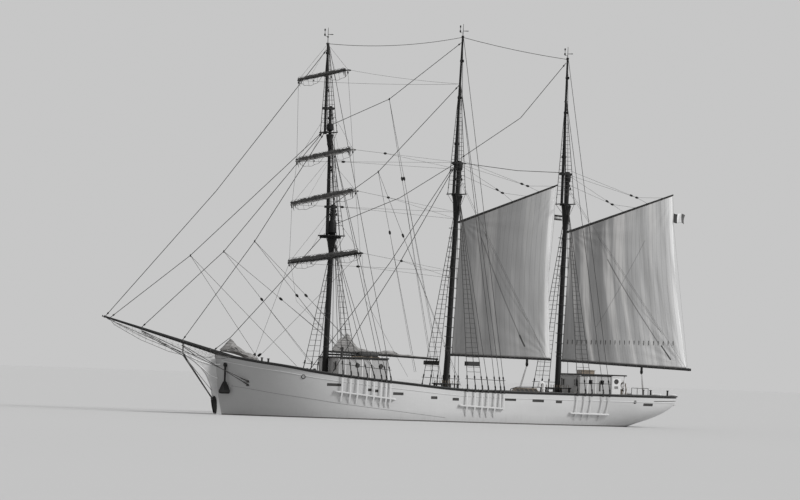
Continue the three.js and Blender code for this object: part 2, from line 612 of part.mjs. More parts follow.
// Deckhouses: walls, roof and a door in the after wall. doorY: the hinge side.
const wallThick = 60;
const roofThick = 60;
const houses = [
  { name: 'fore_house', x0: 3980, x1: 7170, half: 1650, roofZ: 3720, eaveFore: 60, eaveAft: 60,
    windows: [[5942, 200], [4395, 200]], doorY: -900 },
  { name: 'aft_house', x0: -11250, x1: -9080, half: 1650, roofZ: 3200, eaveFore: 80, eaveAft: 1000,
    windows: [[-9800, 260], [-10600, 260]], doorY: -900 },
];
const doorWide = 700;
const doorHigh = 1500;
const hinge = { radius: 14, off: 16, high: 90, low: [250, 1150] };
for (const house of houses) {
  const { x0, x1, half, roofZ, doorY } = house;
  const floor = deckZ((x0 + x1) / 2) - 400;
  const outer = box(x0, x1, -half, half, floor, roofZ - gap);
  const inside = half - wallThick;
  const inner = box(x0 + wallThick, x1 - wallThick, -inside, inside, floor - 10, roofZ + 10);
  const sill = deckZ(x0) + 120;
  const doorway = box(x0 - 10, x0 + wallThick + 10, doorY, doorY + doorWide, sill, sill + doorHigh);
  const windows = house.windows.map(([x, size]) => {
    const [low, high] = [-size / 2, size / 2].map((by) => roofZ - 450 + by);
    return box(x - size / 2, x + size / 2, -half - 10, half + 10, low, high);
  });
  const front = [-1, 1].map((side) =>
    box(x1 - wallThick - 10, x1 + 10, side * 1000 - 230, side * 1000 + 230, roofZ - 750, roofZ - 250));
  const [pinX, pinY] = [x0 - hinge.off, doorY + 8];
  const brackets = hinge.low.flatMap((z) => [
    box(pinX - hinge.radius, x0 + 4, pinY - 40, doorY, sill + z - 40, sill + z - gap),
    box(pinX - hinge.radius, pinX + hinge.radius, pinY - 12, pinY + 12, sill + z - 40, sill + z - gap)]);
  const knuckles = hinge.low.flatMap((z) => [
    rod([pinX, pinY, sill + z], [pinX, pinY, sill + z + hinge.high], hinge.radius, hinge.radius, 12),
    box(pinX - 5, x0 + 20, pinY - 2, pinY + 50, sill + z, sill + z + hinge.high)]);
  const play = 6;                      // around the door in its opening
  const panel = box(x0 + play, x0 + wallThick - play, doorY + play, doorY + doorWide - play,
    sill + play, sill + doorHigh - play);
  const roof = box(x0 - house.eaveAft, x1 + house.eaveFore, -half - roofThick, half + roofThick,
    roofZ, roofZ + roofThick);
  piece(`${house.name}_walls`, join(onDeck(cut(outer, inner, doorway, ...windows, ...front)), ...brackets),
    finish(colours.house, 0.5));
  piece(`${house.name}_roof`, roof, finish(colours.white, 0.6));
  piece(`${house.name}_door`, join(panel, ...knuckles), finish(colours.wood, 0.6));
}

// Deck fittings
const windlass = { x: 11300, z: 2800, radius: 170, half: 750, cheekY: 600, cheekTop: 3050 };
function windlassForm() {
  const { x, z, radius, half, cheekY, cheekTop } = windlass;
  const cheeks = [-1, 1].map((side) =>
    box(x - 150, x + 150, side * cheekY - 40, side * cheekY + 40, 2200, cheekTop));
  return onDeck(join(rod([x, -half, z], [x, half, z], radius), ...cheeks));
}
piece('windlass', windlassForm(), finish(colours.steel, 0.5, 0.6));

// A ridge along the ship whose end is the outline given in y, z.
function ridge(x0, x1, outline) {
  return loft([x0, x1].map((x) => outline.map(([y, z]) => [x, y, z])));
}
const skylight = { aft: -6800, fore: -5300, half: 550, curb: 1950, eave: 1900, top: 2200, past: 50 };
function skylightForm() {
  const { aft, fore, half, curb, eave, top, past } = skylight;
  return onDeck(join(box(aft, fore, -half, half, 1300, curb),
    ridge(aft - past, fore + past, [[-half - past, eave], [half + past, eave], [0, top]])));
}
piece('skylight', skylightForm(), finish(colours.wood, 0.6));
piece('main_hatch', onDeck(box(1000, 2600, -800, 800, 1300, 1950)), finish(colours.white, 0.6));
const vent = { x: -6860, y: 1000, top: 2350, radius: 110 };
piece('cowl_vent', onDeck(join(
  rod([vent.x, vent.y, 1300], [vent.x, vent.y, vent.top], vent.radius),
  rod([vent.x - 60, vent.y, vent.top + 60], [vent.x + 200, vent.y, vent.top + 140], vent.radius + 20, 190),
)), finish(colours.white, 0.5));
piece('pinrail_bitts', onDeck(join(
  box(8300, 8420, -700, -580, 2000, 3000), box(8300, 8420, 580, 700, 2000, 3000),
  box(8290, 8430, -760, 760, 2850, 2950),
)), finish(colours.dark, 0.6));

// Stockless anchors in their hawses.
for (const [name, side] of [['port', 1], ['starboard', -1]]) {
  const x = 14150;
  const y = side * Math.max(halfBreadth(x, 3060) + 62, halfBreadth(x - 330, 1800) + 115);
  const inWall = side * (halfBreadth(x, 3000) - bulwarkThick / 2);
  const anchor = join(
    rod([x, y, 3050], [x, y, 1800], 55, 60, 10),
    rod([x, y, 3000], [x, inWall, 3000], 45, 45, 10),
    loft([[1850, 60, 90], [1600, 330, 110], [1320, 300, 80]].map(([z, a, b]) =>
      [[x - a, y - b, z], [x + a, y - b, z], [x + a, y + b, z], [x - a, y + b, z]]), false),
  );
  piece(`anchor_${name}`, clearOf(anchor, bulwarkBand, [0, side, 0]), finish(colours.steel, 0.6, 0.4));
}

// Steering: wheel on its stand, rudder and propeller.
const wheelX = -12850;
const wheelZ = 2330;
piece('wheel_stand', onDeck(join(box(-12700, -12300, -220, 220, 1200, 2300),
  rod([-12720, 0, wheelZ], [-12680, 0, wheelZ], 60, 60, 12))), finish(colours.wood, 0.6));
function wheel() {
  const rim = new THREE.LatheGeometry([[430, -30], [500, -30], [500, 30], [430, 30], [430, -30]]
    .map(([r, h]) => new THREE.Vector2(r, h)), 16).rotateZ(Math.PI / 2);
  const spokes = Array.from({ length: 4 }, (_, n) => {
    const a = (Math.PI * n) / 4;
    const [y, z] = [Math.cos(a) * 600, Math.sin(a) * 600];
    return rod([0, -y, -z], [0, y, z], 20, 20, 6);
  });
  const hub = rod([-60, 0, 0], [130 - gap, 0, 0], 80, 80, 12);
  return join(rim, ...spokes, hub).translate(wheelX, 0, wheelZ);
}
piece('steering_wheel', wheel(), finish(colours.wood, 0.5));

const rudderX = -12250;
piece('rudder', join(
  sidePlate([[rudderX + 150, -2680], [rudderX + 150, -600], [rudderX - 700, -560], [rudderX - 1000, -1500],
    [rudderX - 900, -2680]], 90),
  rod([rudderX, 0, sole.top + gap], [rudderX, 0, -560], 55, 55, 12),
), finish(colours.bottom, 0.6));

const shaftZ = -1750;
const propellerX = -11560;
function propeller() {
  const hub = rod([sternpostX - gap, 0, shaftZ], [propellerX - 160, 0, shaftZ], 90, 60, 16);
  const blades = Array.from({ length: 4 }, (_, n) => {
    const blade = new THREE.SphereGeometry(1, 8, 6).scale(35, 150, 260).rotateZ(0.6).translate(0, 0, 310);
    return blade.rotateX((Math.PI * n) / 2).translate(propellerX, 0, shaftZ);
  });
  return join(hub, ...blades);
}
piece('propeller', propeller(), finish(colours.bronze, 0.4, 0.8));

// Main stays, set taut on the centreline. Each end is a point x, z near what holds it and the face there: a
// side of a spar, 1 ahead or below and -1 astern or above, or a flat face ahead of a crosstree.
const foreFace = (x) => ({ point: [x, 0], normal: [1, 0] });
function sparFace({ foot, head, radii }, side) {
  const long = Math.hypot(head[0] - foot[0], head[1] - foot[1]);
  const square = [(head[1] - foot[1]) / long * side, -(head[0] - foot[0]) / long * side];
  const [a, b] = [[foot, radii[0]], [head, radii[1]]].map(([p, r]) =>
    [p[0] + square[0] * r, p[1] + square[1] * r]);
  const edge = Math.hypot(b[0] - a[0], b[1] - a[1]);
  return { point: a, normal: [(b[1] - a[1]) / edge * side, -(b[0] - a[0]) / edge * side] };
}
const sprit = { foot: bowsprit.heel, head: bowsprit.tip, radii: bowsprit.radii };
const stays = [
  { name: 'fore_topgallant_stay', from: [21650, spritZ(21650), sparFace(sprit, -1)],
    to: [8010, 22700, sparFace(spars.foreTopgallant, 1)] },
  { name: 'fore_topmast_stay', from: [21350, spritZ(21350), sparFace(sprit, -1)],
    to: [8124, 17520, foreFace(8124)] },
  { name: 'inner_topmast_stay', from: [19315, spritZ(19315), sparFace(sprit, -1)],
    to: [7660, 17050, sparFace(spars.foreTop, 1)] },
  { name: 'forestay', from: [14900, spritZ(14900), sparFace(sprit, -1)],
    to: [8144, 11170, foreFace(8144)] },
  { name: 'main_stay', from: [7410, 4250, sparFace(spars.foreLower, -1)], to: [-531, 14170, foreFace(-531)] },
  { name: 'mizzen_topmast_stay', from: [-780, 16500, sparFace(spars.mainTop, -1)],
    to: [-8230, 22880, sparFace(spars.mizzenTop, 1)] },
];
const stayRadius = 14;
const staySides = 6;
function stayEnd([x, z, face], towards) {
  const square = Math.abs(-towards[1] * face.normal[0] + towards[0] * face.normal[1]);
  const inside = (x - face.point[0]) * face.normal[0] + (z - face.point[1]) * face.normal[1];
  const half = stayRadius * Math.cos(Math.PI / staySides);
  const out = (gap + half * square - inside) / (towards[0] * face.normal[0] + towards[1] * face.normal[1]);
  return [x + towards[0] * out, 0, z + towards[1] * out];
}
for (const { name, from, to } of stays) {
  const long = Math.hypot(to[0] - from[0], to[1] - from[1]);
  const along = [(to[0] - from[0]) / long, (to[1] - from[1]) / long];
  piece(name, rod(stayEnd(from, along), stayEnd(to, along.map((v) => -v)), stayRadius, stayRadius, staySides),
    finish(colours.dark, 0.6));
}

// The bobstay runs from the bowsprit's end under the striker and down to the stem.
const bobstay = join(rod([21500, 0, 5540], [strikerX, 0, 3680], 16, 16, 6),
  rod([strikerX, 0, 3680], [14650, 0, 950], 20, 20, 6));
piece('bobstay', clearOf(clearOf(bobstay, shapes.bowsprit, down), shapes.keel_and_stem, ahead),
  finish(colours.dark, 0.6));

// Shrouds and backstays: wires from a collar about each mast down to the channels, or to the top or the
// crosstrees below. mast, z: where the collar sits; wall: its thickness; turn: degrees abaft the beam of the
// foremost wire; side: the channel; feet: x of feet at the rail; plates: how many of those have a plate down
// to the hull, the others ending at the channel; perches: x, y, z of feet on a top.
const gangs = [
  { mast: 'foreLower', z: 10900, wall: 36, turn: 42, side: 0, feet: [7580, 7060, 6610, 6020, 5570], plates: 5 },
  { mast: 'foreTop', z: 17250, wall: 36, turn: 30, side: 0, feet: [5110, 4780], plates: 2,
    perches: [[7380, 800, 11200], [7100, 800, 11200], [6800, 800, 11200]] },
  { mast: 'foreTopgallant', z: 22980, wall: 70, turn: 20, side: 0, feet: [4500], plates: 1,
    perches: [[8060, 600, 17550], [7430, 600, 17550]] },
  { mast: 'mainLower', z: 13900, wall: 36, turn: 20, side: 1, feet: [-550, -1080, -1550, -1950], plates: 4 },
  { mast: 'mainTop', z: 20950, wall: 50, turn: 0, side: 1, feet: [-2420, -2780], plates: 1,
    perches: [[-600, 650, 14200], [-1250, 650, 14200]] },
  { mast: 'mainTop', z: 23980, wall: 50, turn: 40, side: 1, feet: [-3030], plates: 0 },
  { mast: 'mizzenLower', z: 13650, wall: 36, turn: 20, side: 2, feet: [-8110, -8660, -9140], plates: 3 },
  { mast: 'mizzenTop', z: 20400, wall: 50, turn: 0, side: 2, feet: [-9970], plates: 1,
    perches: [[-8060, 650, 13950], [-8720, 650, 13950]] },
  { mast: 'mizzenTop', z: 23080, wall: 50, turn: 40, side: 2, feet: [-10450], plates: 0 },
];
const wire = { radius: 11, sides: 4, apart: 28 };
const plate = { half: 32, thick: 10, outboard: 110, above: 100, drop: 1680, off: 8, past: 6 };
const sheerPole = { half: 20, above: 450, past: 120 };

function collar({ mast, z, wall }) {
  const ends = [z - 50, z + 50].map((at) => [sparX(spars[mast], at), 0, at]);
  const outer = sparRadius(spars[mast], z) + wall;
  return cut(rod(...ends, outer, outer, 12), sparRoom(spars[mast]));
}

// The wires of one gang on one side, each as its start at the collar and its foot.
function wires({ mast, z, wall, turn, feet, perches = [] }, side) {
  const around = sparRadius(spars[mast], z) + wall * 0.55;
  const onTop = perches.map(([x, y, at]) => [x, side * y, at - 30]);
  const onRail = feet.map((x) => [x, side * (halfBreadth(x, railZ(x)) + plate.outboard), railZ(x) + plate.above]);
  return [...onTop, ...onRail].map((foot, n) => {
    const a = THREE.MathUtils.degToRad(turn) + (n * wire.apart) / around;
    const head = [sparX(spars[mast], z) - around * Math.sin(a), side * around * Math.cos(a), z - 5 * n];
    return { head, foot, atRail: n >= onTop.length };
  });
}

// A plate from a wire's foot over the outer edge of the channel and, where it is long, on down the hull.
function chainPlate(x, side, row, long) {
  const zAt = (at) => THREE.MathUtils.mapLinear(at, row.x0, row.x1, row.z0, row.z1);
  const edge = facetHeight(stations(row.x0, row.x1, 4),
    (at) => halfBreadth(at, zAt(at)) + channel.outboard + seat);
  const top = railZ(x) + plate.above + 15;
  const low = railZ(x) - plate.drop;
  const beside = () => halfBreadth(x, railZ(x)) + plate.outboard - plate.thick / 2;
  const over = channel.high / 2 + plate.past;
  const heights = [[top, beside], [railZ(x) - railCap.thick - 30, beside],
    [zAt(x) + over, edge], [zAt(x) - over, edge]];
  if (long) heights.push([low, (at) => halfBreadth(at, low) + plate.off]);
  return loft(heights.map(([z, inner]) => {
    const [a, b] = [inner(x - plate.half), inner(x + plate.half)];
    return [[x - plate.half, side * a, z], [x + plate.half, side * b, z],
      [x + plate.half, side * (b + plate.thick), z], [x - plate.half, side * (a + plate.thick), z]];
  }));
}

const wireRod = (a, b) => rod(a, b, wire.radius, wire.radius, wire.sides);

// The pole lashed across the wires above the rail, through the point where it meets each of them.
function poleForm(crossed) {
  const { half, past } = sheerPole;
  const [[x0, ...fore], [x1, ...aft]] = [crossed[0], crossed.at(-1)];
  return loft([[x0 + past, ...fore], ...crossed, [x1 - past, ...aft]].map(([x, y, z]) =>
    [[x, y - half, z - half], [x, y + half, z - half], [x, y + half, z + half], [x, y - half, z + half]]));
}

function gangsAt(row, n, side) {
  const forms = [];
  const crossed = [];
  for (const gang of gangs.filter((each) => each.side === n)) {
    for (const { head, foot, atRail } of wires(gang, side)) {
      forms.push(wireRod(head, foot));
      if (!atRail) continue;
      const z = railZ(foot[0]) + sheerPole.above;
      const at = (k) => THREE.MathUtils.mapLinear(z, foot[2], head[2], foot[k], head[k]);
      crossed.push([at(0), at(1), z]);
    }
    gang.feet.forEach((x, k) => forms.push(chainPlate(x, side, row, k < gang.plates)));
  }
  return [...forms, poleForm(crossed)];
}

// All of it as one body, joined by the two stays between the mastheads.
function rigging() {
  const headOf = (name) => {
    const { mast, z } = gangs.findLast((gang) => gang.mast === name);
    return { x: sparX(spars[mast], z), z, out: sparRadius(spars[mast], z) + 20 };
  };
  const [fore, main, mizzen] = ['foreTopgallant', 'mainTop', 'mizzenTop'].map(headOf);
  const forms = [
    ...gangs.map(collar),
    ...channels.flatMap((row, n) => [...gangsAt(row, n, 1), ...gangsAt(row, n, -1)]),
    wireRod([fore.x - fore.out, 0, fore.z], [main.x + main.out, 0, main.z]),
    wireRod([main.x - main.out, 0, main.z], [mizzen.x + mizzen.out, 0, mizzen.z]),
  ];
  return ['fore_top', 'fore_crosstrees', 'main_crosstrees', 'mizzen_crosstrees'].reduce(
    (whole, name) => clearOf(whole, shapes[name], up), join(...forms));
}
piece('shrouds', rigging(), finish(colours.dark, 0.6));

export default ship;
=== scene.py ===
import random
from math import atan2, copysign, cos, dist, exp, hypot, pi, radians, sin, sqrt

import bmesh
import bpy
import numpy as np
from mathutils import Matrix, Vector


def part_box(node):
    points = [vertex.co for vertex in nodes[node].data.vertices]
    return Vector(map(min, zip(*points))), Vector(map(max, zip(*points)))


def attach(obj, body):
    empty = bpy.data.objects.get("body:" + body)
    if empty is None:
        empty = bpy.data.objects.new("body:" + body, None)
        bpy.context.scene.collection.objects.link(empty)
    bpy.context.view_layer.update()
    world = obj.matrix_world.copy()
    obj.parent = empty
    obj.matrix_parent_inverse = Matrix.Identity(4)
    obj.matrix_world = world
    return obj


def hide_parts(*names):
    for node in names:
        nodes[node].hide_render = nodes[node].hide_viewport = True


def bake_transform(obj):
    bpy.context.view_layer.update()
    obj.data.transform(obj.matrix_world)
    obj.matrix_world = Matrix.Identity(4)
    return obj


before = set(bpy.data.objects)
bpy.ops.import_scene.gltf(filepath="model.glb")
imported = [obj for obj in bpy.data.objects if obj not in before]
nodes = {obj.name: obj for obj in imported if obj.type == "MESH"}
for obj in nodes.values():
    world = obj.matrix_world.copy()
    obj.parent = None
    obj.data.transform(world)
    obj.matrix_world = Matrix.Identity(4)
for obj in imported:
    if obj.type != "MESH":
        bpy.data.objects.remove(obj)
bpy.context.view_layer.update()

scene = bpy.context.scene
random.seed(11)
print("frame loaded:", len(nodes), "nodes")

# Camera: low over the water, well forward of the beam, leaning a little to one side. Angles in degrees.
view = {"place": (84.772, 203.027, 2.712), "lens": 159.164, "bearing": 22.0, "tilt": 2.0402, "lean": 2.0}


def makeCamera():
    bearing, tilt, lean = (radians(view[key]) for key in ("bearing", "tilt", "lean"))
    level = Vector((-sin(bearing), -cos(bearing), 0))
    right = Vector((-cos(bearing), sin(bearing), 0))
    above = Vector((0, 0, 1))
    look = level * cos(tilt) + above * sin(tilt)
    upward = above * cos(tilt) - level * sin(tilt)
    side = right * cos(lean) + upward * sin(lean)
    crown = upward * cos(lean) - right * sin(lean)
    camera = bpy.data.objects.new("camera", bpy.data.cameras.new("camera"))
    camera.data.lens, camera.data.sensor_width = view["lens"], 36
    camera.data.clip_start, camera.data.clip_end = 1, 4000
    turn = Matrix((side, crown, -look)).transposed().to_4x4()
    camera.matrix_world = Matrix.Translation(view["place"]) @ turn
    scene.collection.objects.link(camera)
    scene.camera = camera


makeCamera()


class Wire:
    # one socket of a material's nodes; sums, products and comparisons on it add Math nodes
    def __init__(self, tree, socket=None):
        self.tree, self.socket = tree, socket

    def node(self, kind, settings=None, sockets=None, out=0):
        made = self.tree.nodes.new("ShaderNode" + kind)
        for name, value in (settings or {}).items():
            if name == "stops":
                while len(made.color_ramp.elements) < len(value):
                    made.color_ramp.elements.new(0.5)
                for element, (at, light) in zip(made.color_ramp.elements, value):
                    element.position, element.color = at, tone(light)
            else:
                setattr(made, name, value)
        for name, value in (sockets or {}).items():
            if isinstance(value, Wire):
                self.tree.links.new(value.socket, made.inputs[name])
            else:
                made.inputs[name].default_value = value
        return Wire(self.tree, made.outputs[out])

    def sum(self, operation, *values):
        return self.node("Math", {"operation": operation}, dict(enumerate(values)))

    def __add__(self, other):
        return self.sum("ADD", self, other)

    def __sub__(self, other):
        return self.sum("SUBTRACT", self, other)

    def __rsub__(self, other):
        return self.sum("SUBTRACT", other, self)

    def __mul__(self, other):
        return self.sum("MULTIPLY", self, other)

    def __gt__(self, other):
        return self.sum("GREATER_THAN", self, other)

    def __lt__(self, other):
        return self.sum("LESS_THAN", self, other)

    __radd__, __rmul__ = __add__, __mul__

    def fold(self):
        # 0 in the middle of each whole step and 1 at its edges
        return self.sum("ABSOLUTE", self.sum("FRACT", self) * 2 - 1)

    def clamp(self):
        return self.node("Clamp", {}, {"Value": self})

    def places(self, scale=(1, 1, 1), kind=3):
        # where the surface is, in metres on the ship; kind 2 gives the mesh's own lengthwise and crosswise
        # metres
        return self.node("Mapping", {}, {"Vector": self.node("TexCoord", {}, {}, kind), "Scale": scale})

    def noise(self, at, scale=1.0, detail=4.0, rough=0.6):
        return self.node("TexNoise", {}, {"Vector": at, "Scale": scale, "Detail": detail, "Roughness": rough})

    def join(self, x, y, z=0.0):
        return self.node("CombineXYZ", {}, {0: x, 1: y, 2: z})

    def parts(self, kind=3):
        made = self.node("SeparateXYZ", {}, {0: self.places(kind=kind)})
        return [Wire(self.tree, made.socket.node.outputs[n]) for n in range(3)]

    def ramp(self, factor, *stops):
        return self.node("ValToRGB", {"stops": stops}, {0: factor})

    def blend(self, factor, first, second):
        return self.node("Mix", {"data_type": "RGBA"}, {0: factor, 6: first, 7: second}, 2)

    def coats(self, base, *rows):
        # each row lays a tone over what is there: factor, tone, warmth
        for factor, *shade in rows:
            base = self.blend(factor, base, tone(*shade))
        return base

    def bump(self, height, strength=0.4, depth=0.01):
        return self.node("Bump", {}, {"Strength": strength, "Distance": depth, "Height": height})


def tone(value, warm=0.0):
    return (value * (1 + warm), value, value * (1 - warm), 1)


def newFinish(name, build, **fixed):
    material = bpy.data.materials.new(name)
    material.use_nodes = True
    shader = material.node_tree.nodes["Principled BSDF"]
    for socket, value in (*fixed.items(), *build(Wire(material.node_tree)).items()):
        socket = shader.inputs[socket.replace("_", " ")]
        if isinstance(value, Wire):
            material.node_tree.links.new(value.socket, socket)
        else:
            socket.default_value = value
    return material


def surface(base, rough, normal=None, **more):
    return {"Base_Color": base, "Roughness": rough, **({"Normal": normal} if normal else {}), **more}


def hullPaint(w):
    _, down, _ = w.parts(2)
    x, _, z = w.parts()
    strakes = (down * 4.6).fold() > 0.965
    butts = w.noise(w.places((0.45, 0.1, 9.0)), detail=2.0)
    cloudy = w.noise(w.places((0.35, 0.35, 0.8)), detail=6.0)
    streaks = w.ramp(w.noise(w.places((5.0, 5.0, 0.28)), 1.0, 5.0, 0.7), (0.5, 0.0), (0.72, 1.0))
    # painted shade: the colour darkens towards the waterline, against the light thrown up from the floor
    low = (1.0 - (z - 0.05) * 1.6).clamp()
    # painted shade: the colour darkens towards the bow, where the side turns away from the lamp
    fore = ((x - 5.5) * 0.14).clamp()
    base = w.coats(w.blend(cloudy, tone(0.47), tone(0.58)), (fore * 0.6, 0.22), (low * 0.35, 0.30),
                   (streaks * (0.05 + low * 0.2), 0.22, 0.06), (strakes * 0.10, 0.26), (down < 0.135, 0.022),
                   (z < 0.07, 0.10, 0.04))
    lines = (1.0 - strakes) * 0.6 + butts * 0.25 + cloudy * 0.2
    return surface(base, 0.38 + streaks * 0.25, w.bump(lines, 0.18, 0.004))


def plainPaint(light, dark, rough=0.5, scale=2.0, warm=0.0):
    def build(w):
        patches = w.noise(w.places(), scale, 6.0)
        fine = w.noise(w.places(), scale * 14, 3.0)
        return surface(w.blend(patches, tone(dark, warm), tone(light, warm)),
                       rough - 0.1 + patches * 0.2 + fine * 0.05, w.bump(patches + fine * 0.4, 0.2, 0.004))
    return build


def plankDeck(w):
    x, y, _ = w.parts()
    seams = (y * 8.0).fold() > 0.93
    strip = w.sum("FLOOR", y * 8.0)
    butts = (x * 0.16 + strip * 0.37).fold() > 0.995
    board = w.noise(w.join(x * 1.2, strip * 7.3), detail=3.0)
    grain = w.noise(w.places((2.5, 60.0, 20.0)), detail=5.0)
    dark = w.sum("MAXIMUM", seams, butts)
    base = w.coats(w.blend(board, tone(0.26, 0.10), tone(0.44, 0.09)), (grain * 0.4, 0.22, 0.10),
                   (dark, 0.03))
    return surface(base, 0.62 + grain * 0.2, w.bump((1.0 - dark) + grain * 0.2, 0.5, 0.006))


def grainedWood(light, dark, rough, coat):
    def build(w):
        rings = w.noise(w.places((3.0, 22.0, 3.0)), 1.0, 6.0, 0.65)
        wide = w.noise(w.places(), 1.7, 3.0)
        base = w.blend(w.ramp(rings, (0.35, 0.0), (0.7, 1.0)), tone(dark, 0.28), tone(light, 0.25))
        return surface(w.coats(base, (wide * 0.35, dark, 0.2)), rough + rings * 0.15,
                       w.bump(rings, 0.25, 0.003),
                       Coat_Weight=coat)
    return build


# Sailcloth: sewn panels along the leech; painted light, bright at the leech and darker towards the luff; folds
# that fan from the gaff, with painted shade in their hollows and painted highlight on their ridges; and painted
# shadows along the creases where the lifts press through: each crease runs from one place to another in metres
# from the clew, with its half width and depth of tone.
def sailCloth(paintedLightStops, creaseShadows, foldShadeStrength, seamGap=0.34):
    def build(w):
        across, up, _ = w.parts(2)
        panel = w.sum("FLOOR", across * (1 / seamGap))
        seams = (across * (1 / seamGap)).fold() > 0.90
        shade = w.noise(w.join(panel * 3.7, up * 0.05), detail=2.0)
        stains = w.noise(w.join(across * 0.9, up * 0.22), 1.0, 7.0, 0.7)
        weave = w.noise(w.join(across * 60, up * 60), detail=2.0)
        folds = w.noise(w.join(across - up * 0.088, up * 0.06, 3.0), 1.0, 4.0, 0.55)
        base = w.coats(w.ramp(across * 0.1, *paintedLightStops),
                       # painted shade in the hollows of the folds and painted highlight on their ridges
                       (w.ramp(folds, (0.36, foldShadeStrength), (0.5, 0.0)), 0.09, 0.02),
                       (w.ramp(folds, (0.52, 0.0), (0.64, foldShadeStrength)), 0.72, 0.02),
                       (shade * 0.14 + stains * 0.14, 0.10, 0.02), (seams * 0.22, 0.08, 0.02))
        # painted shadows along the creases where the lifts press the cloth
        for (a0, u0), (a1, u1), half, depth in creaseShadows:
            long = hypot(a1 - a0, u1 - u0)
            da, du = (a1 - a0) / long, (u1 - u0) / long
            off = w.sum("ABSOLUTE", (across - a0) * -du + (up - u0) * da) < half
            along = (across - a0) * da + (up - u0) * du
            base = w.coats(base, (off * (along > 0.0) * (along < long) * depth, 0.03))
        height = seams * 0.6 + weave * 0.25 + stains * 0.4 + folds * 6.0
        return surface(base, 0.8 + stains * 0.1, w.bump(height, 0.5, 0.012))
    return build


def bundledCloth(light, dark):
    def build(w):
        folds = w.noise(w.places((1.6, 1.1, 9.0)), 1.5, 6.0, 0.7)
        fine = w.noise(w.places(), 24.0)
        # painted shade: the colour follows the fold height, dark in the hollows and lighter on the ridges
        return surface(w.blend(w.ramp(folds, (0.3, 0.0), (0.75, 1.0)), tone(dark, 0.03), tone(light, 0.02)),
                       0.82 + fine * 0.1, w.bump(folds + fine * 0.3, 0.8, 0.03))
    return build


def ropeLay(light, dark):
    def build(w):
        along, around, _ = w.parts(2)
        lay = (along * 22.0 + around * 3.0).fold()
        dirt = w.noise(w.places(), 2.0)
        return surface(w.blend(lay * 0.5 + dirt * 0.5, tone(dark, 0.03), tone(light, 0.03)),
                       0.75 + dirt * 0.15,
                       w.bump(lay, 0.5, 0.004))
    return build


def wornMetal(light, dark, rust, rough=0.45):
    def build(w):
        patches = w.noise(w.places(), 5.0, 6.0, 0.7)
        eaten = w.ramp(patches, (0.55, 0.0), (0.75, 1.0))
        pits = w.noise(w.places(), 60.0, 3.0)
        base = w.blend(eaten * rust, w.blend(patches, tone(dark), tone(light)), (0.16, 0.10, 0.07, 1))
        return surface(base, rough + eaten * 0.3 + pits * 0.1, w.bump(pits + patches, 0.3, 0.003),
                       Metallic=0.85 - eaten * 0.5)
    return build


def windowGlass(w):
    streaks = w.noise(w.places((3.0, 3.0, 1.0)), 2.0)
    return surface(w.blend(streaks, tone(0.012), tone(0.03)), 0.3 + streaks * 0.1)


def stripedCloth(w):
    along, _, _ = w.parts(2)
    outer = w.sum("MAXIMUM", along < 0.333, along > 0.667)
    wave = w.noise(w.places(), 6.0, 3.0)
    base = w.blend(outer, tone(0.72), w.blend(along > 0.5, tone(0.03), tone(0.09)))
    return surface(base, 0.75 + wave * 0.1, w.bump(wave, 0.3, 0.01))


# Painted light across each sail: bright at the leech, darker towards the luff.
mainPaintedLight = ((0.0, 0.80), (0.025, 0.72), (0.045, 0.42), (0.12, 0.33), (0.24, 0.25), (0.42, 0.16),
             (0.70, 0.14))
mainCreaseShadows = (((5.19, 8.9), (1.75, 0.71), 0.035, 0.55), ((2.05, 1.45), (1.72, 0.68), 0.055, 0.97))
mizzenPaintedLight = ((0.0, 0.85), (0.03, 0.70), (0.07, 0.50), (0.25, 0.42), (0.45, 0.27), (0.60, 0.16),
               (0.90, 0.13))
mizzenCreaseShadows = (((5.4, 7.6), (1.8, 1.55), 0.035, 0.6), ((2.3, 8.3), (6.3, 2.6), 0.03, 0.35),
                 ((1.6, 1.35), (1.05, 0.45), 0.05, 0.97))
